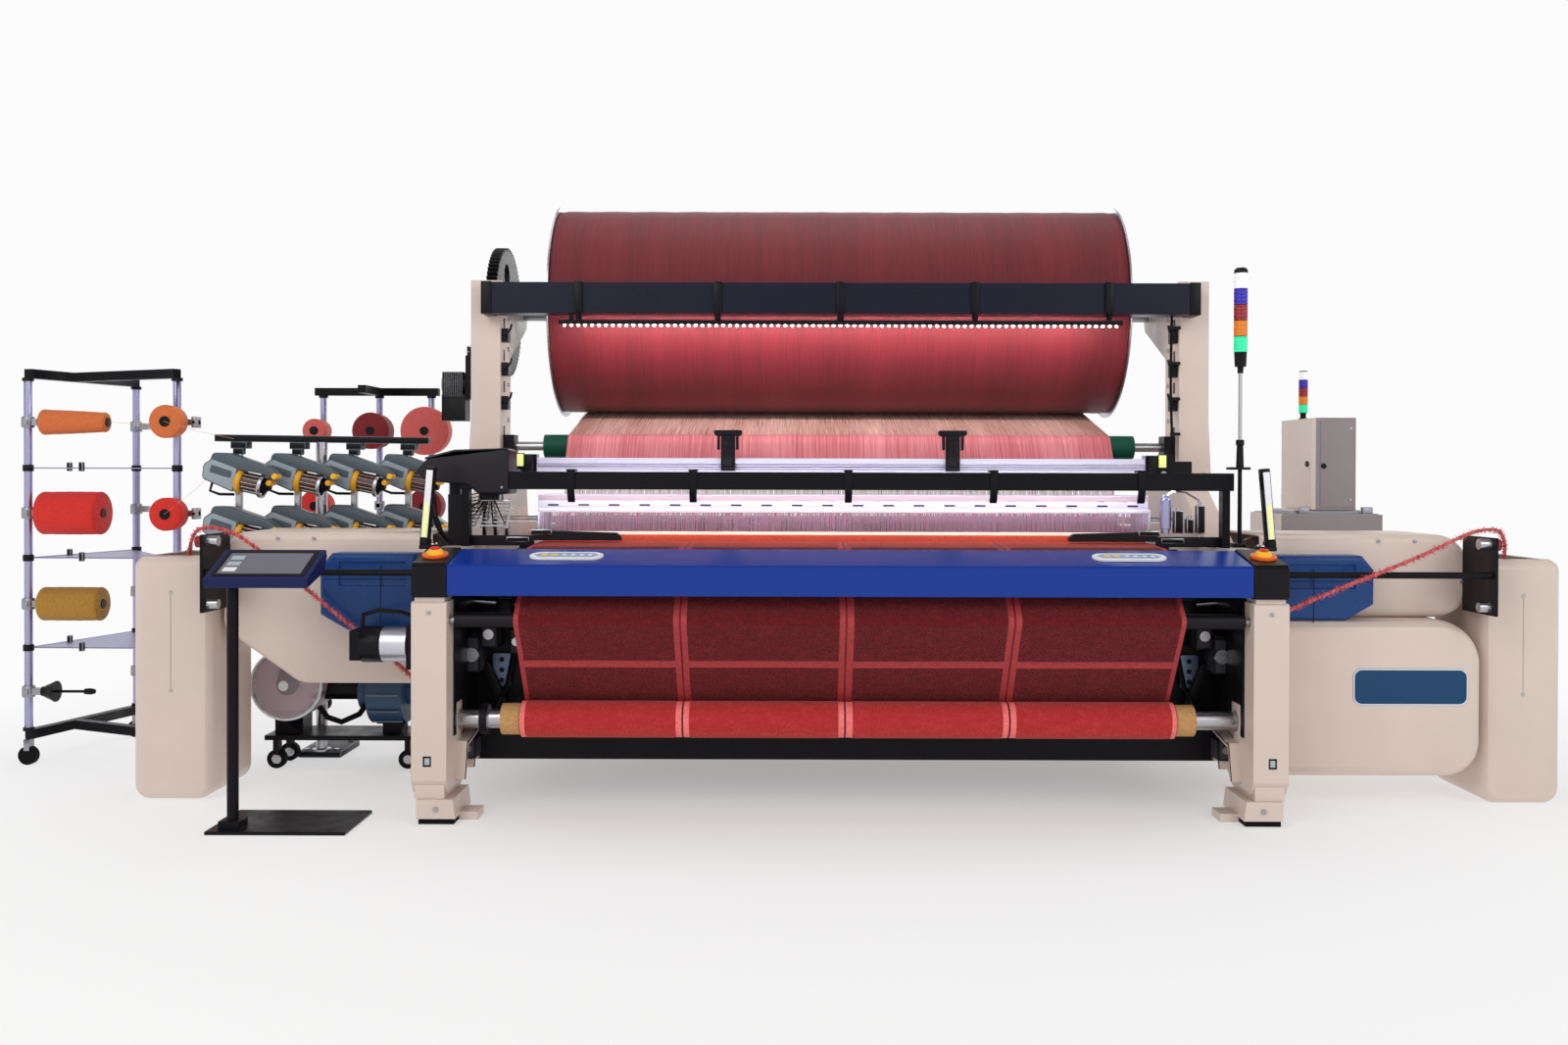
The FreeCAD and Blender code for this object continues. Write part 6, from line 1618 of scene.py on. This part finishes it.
def selector(shape):
    for k in range(8):
        y, up = -0.338 + 0.012 * k, 1.053 + 0.014 * k
        lathe(shape, "y", (-1.33, y, up), [(-0.002, 0.004), (-0.002, 0.008), (0.002, 0.008), (0.002, 0.004)], 0,
            12, closed=True)
        sweep(shape, [(-1.505, y, up + 0.02), (-1.46, y, up + 0.028), (-1.42, y, up + 0.012), (-1.38, y, up)],
            0.0022, 0, 5)
        sweep(shape, [(-1.33, y, up), (-1.285, y + 0.002, up - 0.02), (-1.235, y + 0.004, 1.012)], 0.0009, 2, 4)
    block(shape, (-1.558, -1.507), (-0.343, -0.247), (1.17, 1.245), 1, 0.004)
    for k in range(9):
        fan = math.radians(-58 + 11 * k)
        top = (-1.395 + 0.02 * math.sin(fan), -0.32 - 0.004 * k, 1.16 + 0.015 * math.cos(fan))
        foot = (-1.405 + 0.135 * math.sin(fan), -0.3 - 0.004 * k, 1.16 - 0.12 * math.cos(fan))
        sweep(shape, [top, foot], [0.0042, 0.0022], 0 if k % 2 else 1, 6)
    block(shape, (-1.44, -1.35), (-0.352, -0.3), (1.148, 1.186), 1, 0.006)
    for x, y, low, high in ((-1.44, -0.236, 0.976, 1.15), (-1.395, -0.24, 0.976, 1.105),
            (-1.35, -0.236, 0.976, 1.06)):
        block(shape, (x - 0.009, x + 0.009), (y - 0.008, y + 0.004), (low, high), 1, 0.003)
        turned(shape, "y", (x, y - 0.009, high - 0.014), [(0, 0.009), (-0.006, 0.008)], 0, 14)
    sweep(shape, [(-1.64, -0.3, 1.176), (-1.632, -0.31, 1.1), (-1.6, -0.318, 1.03), (-1.556, -0.33, 0.985)],
        0.0075, 1)
    sweep(shape, [(-1.615, -0.34, 1.176), (-1.605, -0.345, 1.09), (-1.58, -0.345, 1.02),
        (-1.545, -0.345, 0.985)], 0.0055, 1)


class LOOM_OT_weft(bpy.types.Operator):
    """Make the weft feeders, the yarn packages on their creels, and the weft selector under its hood"""
    bl_idname = "loom.weft"
    bl_label = "Weft supply"

    def execute(self, context):
        piece("weft_feeder_row", feeders, ["feeder_shell", "ring_yellow", "black_plastic", "drum_brown",
            "stop_yellow", "steel", "feeder_motor"], ["weft_feeders"])
        piece("yarn_packages_wound", packages, ["black_plastic"] + [p[5] for p in PACKAGES],
            ["yarn_packages"], 40)
        dress("creel_stands", ["black_coat", "silver_paint", "zinc", "black_rubber"],
            creel_finish)
        piece("creel_clamps_and_plates", creel_fittings, ["zinc", "black_plastic", "silver_paint",
            "strand_orange"])
        piece("hood_visor", visor, ["hood_plastic", "cast_grey"], ["selector_hood"])
        dress("weft_selector", ["blackened_steel", "steel"], lambda at, out: 1 if at.x > -1.5045
            else 0)
        piece("selector_eyes_and_yarns", selector, ["steel", "black_plastic", "strand_orange"])
        screw_heads("hood_screws", [(-1.6, -0.4085, 1.262), (-1.335, -0.4085, 1.205)], 0.005)
        return {"FINISHED"}


# ---- side units
def shell(name, stands_for, build, open_end, wall):
    """A moulded cover: an eased block, open where a test on a face says so, with a wall inside."""
    shape = bmesh.new()
    build(shape)
    open_faces = [face for face in shape.faces if open_end(face.calc_center_median(), face.normal)]
    bmesh.ops.delete(shape, geom=open_faces, context="FACES")
    thing = piece(name, meshed(shape), ["beige_enamel"], stands_for, 30)
    skin = thing.modifiers.new("wall", "SOLIDIFY")
    skin.thickness = wall
    skin.offset = -1
    return thing


def housing_inside(shape):
    for side in SIDES:
        block(shape, (side * 1.5625, side * 1.604), (-0.25, -0.1), (0.75, 0.93), 0, 0.004)
        turned(shape, "y", (side * 2.01, 0, 0.87), [(-0.385, 0.0195), (-0.03, 0.0195)], 0, 24)


def drive_case(shape):
    outline = round_corners([(1.5625, 0.114, 0), (2.41, 0.114, 0.135), (2.41, 0.709, 0.165),
        (1.5625, 0.709, 0)], 14)
    slab(shape, "xz", outline, (-0.54, 0.13), 0, 0.048)


def bin_marks(shape):
    for side in SIDES:
        x = side * 2.585
        for up in (0.425, 0.8):
            turned(shape, "y", (x, -0.4905, up), [(0.0005, 0.0085), (-0.0015, 0.0075)], 0, 20)
        block(shape, (x - 0.002, x + 0.002), (-0.4912, -0.489), (0.435, 0.79), 1, 0.0005)


def badge(shape):
    slab(shape, "xz", rounded((1.915, 2.35), (0.39, 0.53), 0.034, 8), (-0.5425, -0.5395), 1, 0.001)
    slab(shape, "xz", rounded((1.921, 2.344), (0.396, 0.524), 0.028, 8), (-0.544, -0.542), 0, 0.0008)


def cover_fields(shape):
    for side in SIDES:
        blocks(shape, [
            (side * 1.7705, side * 1.7735, -0.5207, -0.519, 0.69, 0.905, 3),
            (side * 1.645, side * 1.99, -0.5207, -0.519, 0.8545, 0.857, 3)])
        for x, up in ((1.662, 0.88), (1.965, 0.875)):
            turned(shape, "y", (side * x, -0.5205, up), [(0.0005, 0.005), (-0.003, 0.0045)], 1, 16)
        block(shape, (side * 1.565, side * 1.602), (-0.245, -0.105), (0.755, 0.925), 2, 0.006)


def motor_details(shape):
    lathe(shape, "x", (0, -0.655, 0.627), [(-1.795, 0.06), (-1.795, 0.0655), (-1.79, 0.0672), (-1.722, 0.0672),
        (-1.717, 0.0655), (-1.717, 0.06)], 1, closed=True)
    sweep(shape, [(-1.8, -0.655, 0.69), (-1.795, -0.652, 0.735), (-1.74, -0.645, 0.752), (-1.66, -0.632, 0.742),
        (-1.6, -0.625, 0.72)], 0.008, 1)
    for k in range(10):
        block(shape, (-1.836 + 0.01 * k, -1.832 + 0.01 * k), (0.633, 0.747), (1.612, 1.728), 1, 0.001)
    for up in (1.62, 1.78) * 2:
        turned(shape, "y", (-1.68, 0.5985, up), [(0.002, 0.008), (-0.006, 0.007)], 0, 12)
    for x, up, wide in ((-1.69, 1.82, 0.05), (-1.7, 1.845, 0.03)):
        block(shape, (x - wide / 2, x + wide / 2), (0.6, 0.66), (up - 0.03, up), 1, 0.004)


class LOOM_OT_side_units(bpy.types.Operator):
    """Finish the rapier housings, drive housing, bins, take-offs, motors and suction unit"""
    bl_idname = "loom.side_units"
    bl_label = "Side units"

    def execute(self, context):
        screw = context.scene.loom_fittings.screw
        for side, low, word in ((-1, 0.44, "left"), (1, 0.7095, "right")):
            inner, outer = 1.6, 2.42
            corners = [(inner, low, 0), (outer - 0.3, low, 0.1), (outer, low + 0.21, 0.08), (outer, 1.03, 0.1),
                (inner, 1.03, 0)]
            if side > 0:
                corners = [(inner, low, 0), (outer, low, 0.13), (outer, 1.03, 0.13), (inner, 1.03, 0)]
            outline = [(side * x, z) for x, z in round_corners(corners, 12)]

            def case(shape, outline=outline):
                slab(shape, "xz", outline, (-0.42, -0.02), 0, 0.032)

            shell(f"rapier_housing_{word}", ["rapier_housings"] if side < 0 else [], case,
                lambda at, out, side=side: out.x * side < -0.9 and abs(at.x) < 1.61, 0.008)
        piece("rapier_necks_and_axles", housing_inside, ["blackened_steel"])
        dress("rapier_covers", ["cover_blue"], ease=0.004)
        piece("drive_housing_moulded", drive_case, ["beige_enamel"], ["drive_housing"], 30)

        for side, word in ((-1, "left"), (1, "right")):
            near, far = side * 2.435, side * 2.735

            def bin_case(shape, near=near, far=far):
                slab(shape, "xz", round_corners([(near, 0.003, 0.06), (far, 0.003, 0.06), (far, 0.94, 0.045),
                    (near, 0.94, 0.045)], 8), (-0.49, -0.06), 0, 0.04)

            shell(f"waste_bin_{word}", ["waste_bins"] if side < 0 else [], bin_case,
                lambda at, out: out.z > 0.9 and at.z > 0.93 and -0.46 < at.y < -0.09, 0.005)
        for word in ("left", "right"):
            finish(f"rapier_wheel_{word}", "blackened_steel")
            finish(f"rapier_{word}", "steel")
        dress("waste_takeoffs", ["black_coat", "steel", "stop_red_dark"],
            lambda at, out: 1 if 2.3449 < abs(at.x) < 2.3851 and at.y < -0.598 and (at.z > 0.98 or at.z < 0.79)
            else 2 if abs(at.x) > 2.4005 else 0, ease=0.002)
        piece("bin_caps_and_seams", bin_marks, ["grey_coat"] * 2)
        piece("plain_name_field", badge, ["badge_blue", "pale_line"])
        piece("blue_cover_trim", cover_fields, ["cover_blue", "steel", "black_rubber", "navy_coat"])
        screw_heads("housing_screws", [(side * x, -0.4205, up) for side in SIDES
            for x, up in ((2.38, 0.85), (2.2, 1.005), (2.06, 1.005))], screw)
        dress("servo_motors", ["black_coat", "aluminium", "motor_blue"],
            lambda at, out: 1 if at.y < -0.585 and -1.7895 < at.x < -1.6225 and (Vector((at.y, at.z)) -
            Vector((-0.655, 0.627))).length < 0.0665 else 0, ease=0.002)
        piece("motor_fins_and_leads", motor_details, ["steel", "black_plastic"])

        centre = Vector((-2.35, 0, 0.36))

        def suction_finish(at, out):
            reach = math.hypot(at.x - centre.x, at.z - centre.z)
            if at.y < 0.0675 and reach < 0.1515:
                return 3
            if reach < 0.153 and at.y < 0.251 and at.z > 0.208:
                return 1
            if at.z < 0.081:
                return 2
            if at.x > -2.065 and at.z > 0.184:
                return 4
            return 0

        dress("suction_unit", ["black_coat", "dark_drum", "black_rubber", "clear_lid", "motor_blue"],
            suction_finish)
        dress("suction_wiper", ["black_plastic"], ease=0.003, body="suction_wiper")

        def suction_details(shape):
            for k in range(20):
                angle = 2 * math.pi * (k + 0.5) / 20
                at = (centre.x + 0.139 * math.cos(angle), 0.0555, centre.z + 0.139 * math.sin(angle))
                turned(shape, "y", at, [(0.006, 0.005), (-0.001, 0.005)], 0, 8)
            lathe(shape, "y", (centre.x, 0.058, centre.z), [(0, 0.1425), (0, 0.1525), (0.008, 0.1535),
                (0.016, 0.1525)], 1, 72)
            turned(shape, "y", (centre.x, 0.03, centre.z), [(0.002, 0.022), (-0.003, 0.018)], 1, 32)
            for k in range(12):
                angle = 2 * math.pi * k / 12
                turn = Matrix.Translation((-1.86, 0.18, 0.32)) @ Matrix.Rotation(angle, 4, "X")
                block(shape, (-0.14, -0.01), (0.134, 0.146), (-0.003, 0.003), 3, 0.001, turn)
            for x in (-2.4, -1.84):
                for y in (0.1, 0.25):
                    for side in SIDES:
                        turned(shape, "y", (x, y + side * 0.0145, 0.04), [(-0.001 * side, 0.022),
                            (0.003 * side, 0.018)], 0, 16)
            sweep(shape, [(-2.22, 0.1, 0.26), (-2.18, 0.08, 0.22), (-2.12, 0.08, 0.2), (-2.05, 0.1, 0.23),
                (-2.02, 0.13, 0.28)], 0.012, 2, 10)
            sweep(shape, [(-2.0, 0.17, 0.42), (-1.99, 0.16, 0.5), (-1.96, 0.14, 0.56), (-1.9, 0.1, 0.6)], 0.03,
                2, 14)

        piece("suction_bolts_and_fins", suction_details, ["steel", "pale_line", "black_rubber", "motor_blue"])
        return {"FINISHED"}


# ---- cable
class LOOM_OT_cables(bpy.types.Operator):
    """Lead the cable down the right column, held in its clips"""
    bl_idname = "loom.cables"
    bl_label = "Cable"

    def execute(self, context):
        path = cord_path("column_cable", CABLE_COLUMN, 0.012)

        def cable(shape):
            sweep(shape, path, 0.0058, 0, 12)

        piece("column_cable_sheath", cable, ["black_rubber"], ["cables"], 60)

        def clips(shape):
            for k in range(4, len(path) - 2, 13):
                at = path[k]
                lathe(shape, "z", tuple(at), [(-0.008, 0.0058), (-0.008, 0.0095), (0.008, 0.0095),
                    (0.008, 0.0058)], 0, 16, closed=True)
                block(shape, (at.x, 1.5005), (at.y + 0.004, at.y + 0.036), (at.z - 0.007, at.z + 0.007), 0,
                    0.002)

        piece("column_cable_clips", clips, ["black_plastic"])
        return {"FINISHED"}


# ---- panel, registration and the run itself
class LOOM_PT_parts(bpy.types.Panel):
    """The parts of the weaving machine"""
    bl_label = "Weaving machine"
    bl_idname = "LOOM_PT_parts"
    bl_space_type = "VIEW_3D"
    bl_region_type = "UI"
    bl_category = "Loom"

    def draw(self, context):
        for step in STEPS:
            self.layout.operator(step.bl_idname)
        for group in (context.scene.loom_stage, context.scene.loom_yarn, context.scene.loom_fittings):
            for name in group.bl_rna.properties.keys():
                if name not in ("rna_type", "name"):
                    self.layout.prop(group, name)


GROUPS = {"loom_stage": LoomStage, "loom_yarn": LoomYarn, "loom_fittings": LoomFittings}
STEPS = [LOOM_OT_stage, LOOM_OT_waste_ropes, LOOM_OT_cables, LOOM_OT_castings, LOOM_OT_warp, LOOM_OT_healds,
    LOOM_OT_towels, LOOM_OT_controls, LOOM_OT_weft, LOOM_OT_side_units]
CLASSES = [*GROUPS.values(), *STEPS, LOOM_PT_parts]


def register():
    for kind in CLASSES:
        bpy.utils.register_class(kind)
    for name, kind in GROUPS.items():
        setattr(bpy.types.Scene, name, PointerProperty(type=kind))


def unregister():
    for name in GROUPS:
        delattr(bpy.types.Scene, name)
    for kind in reversed(CLASSES):
        bpy.utils.unregister_class(kind)


def main():
    """Build everything."""
    for old in list(bpy.data.objects):
        if old.name in ("Cube", "Light", "Camera"):
            bpy.data.objects.remove(old)
    register()
    for step in STEPS:
        group, name = step.bl_idname.split(".")
        getattr(getattr(bpy.ops, group), name)()


if __name__ == "__main__":
    main()
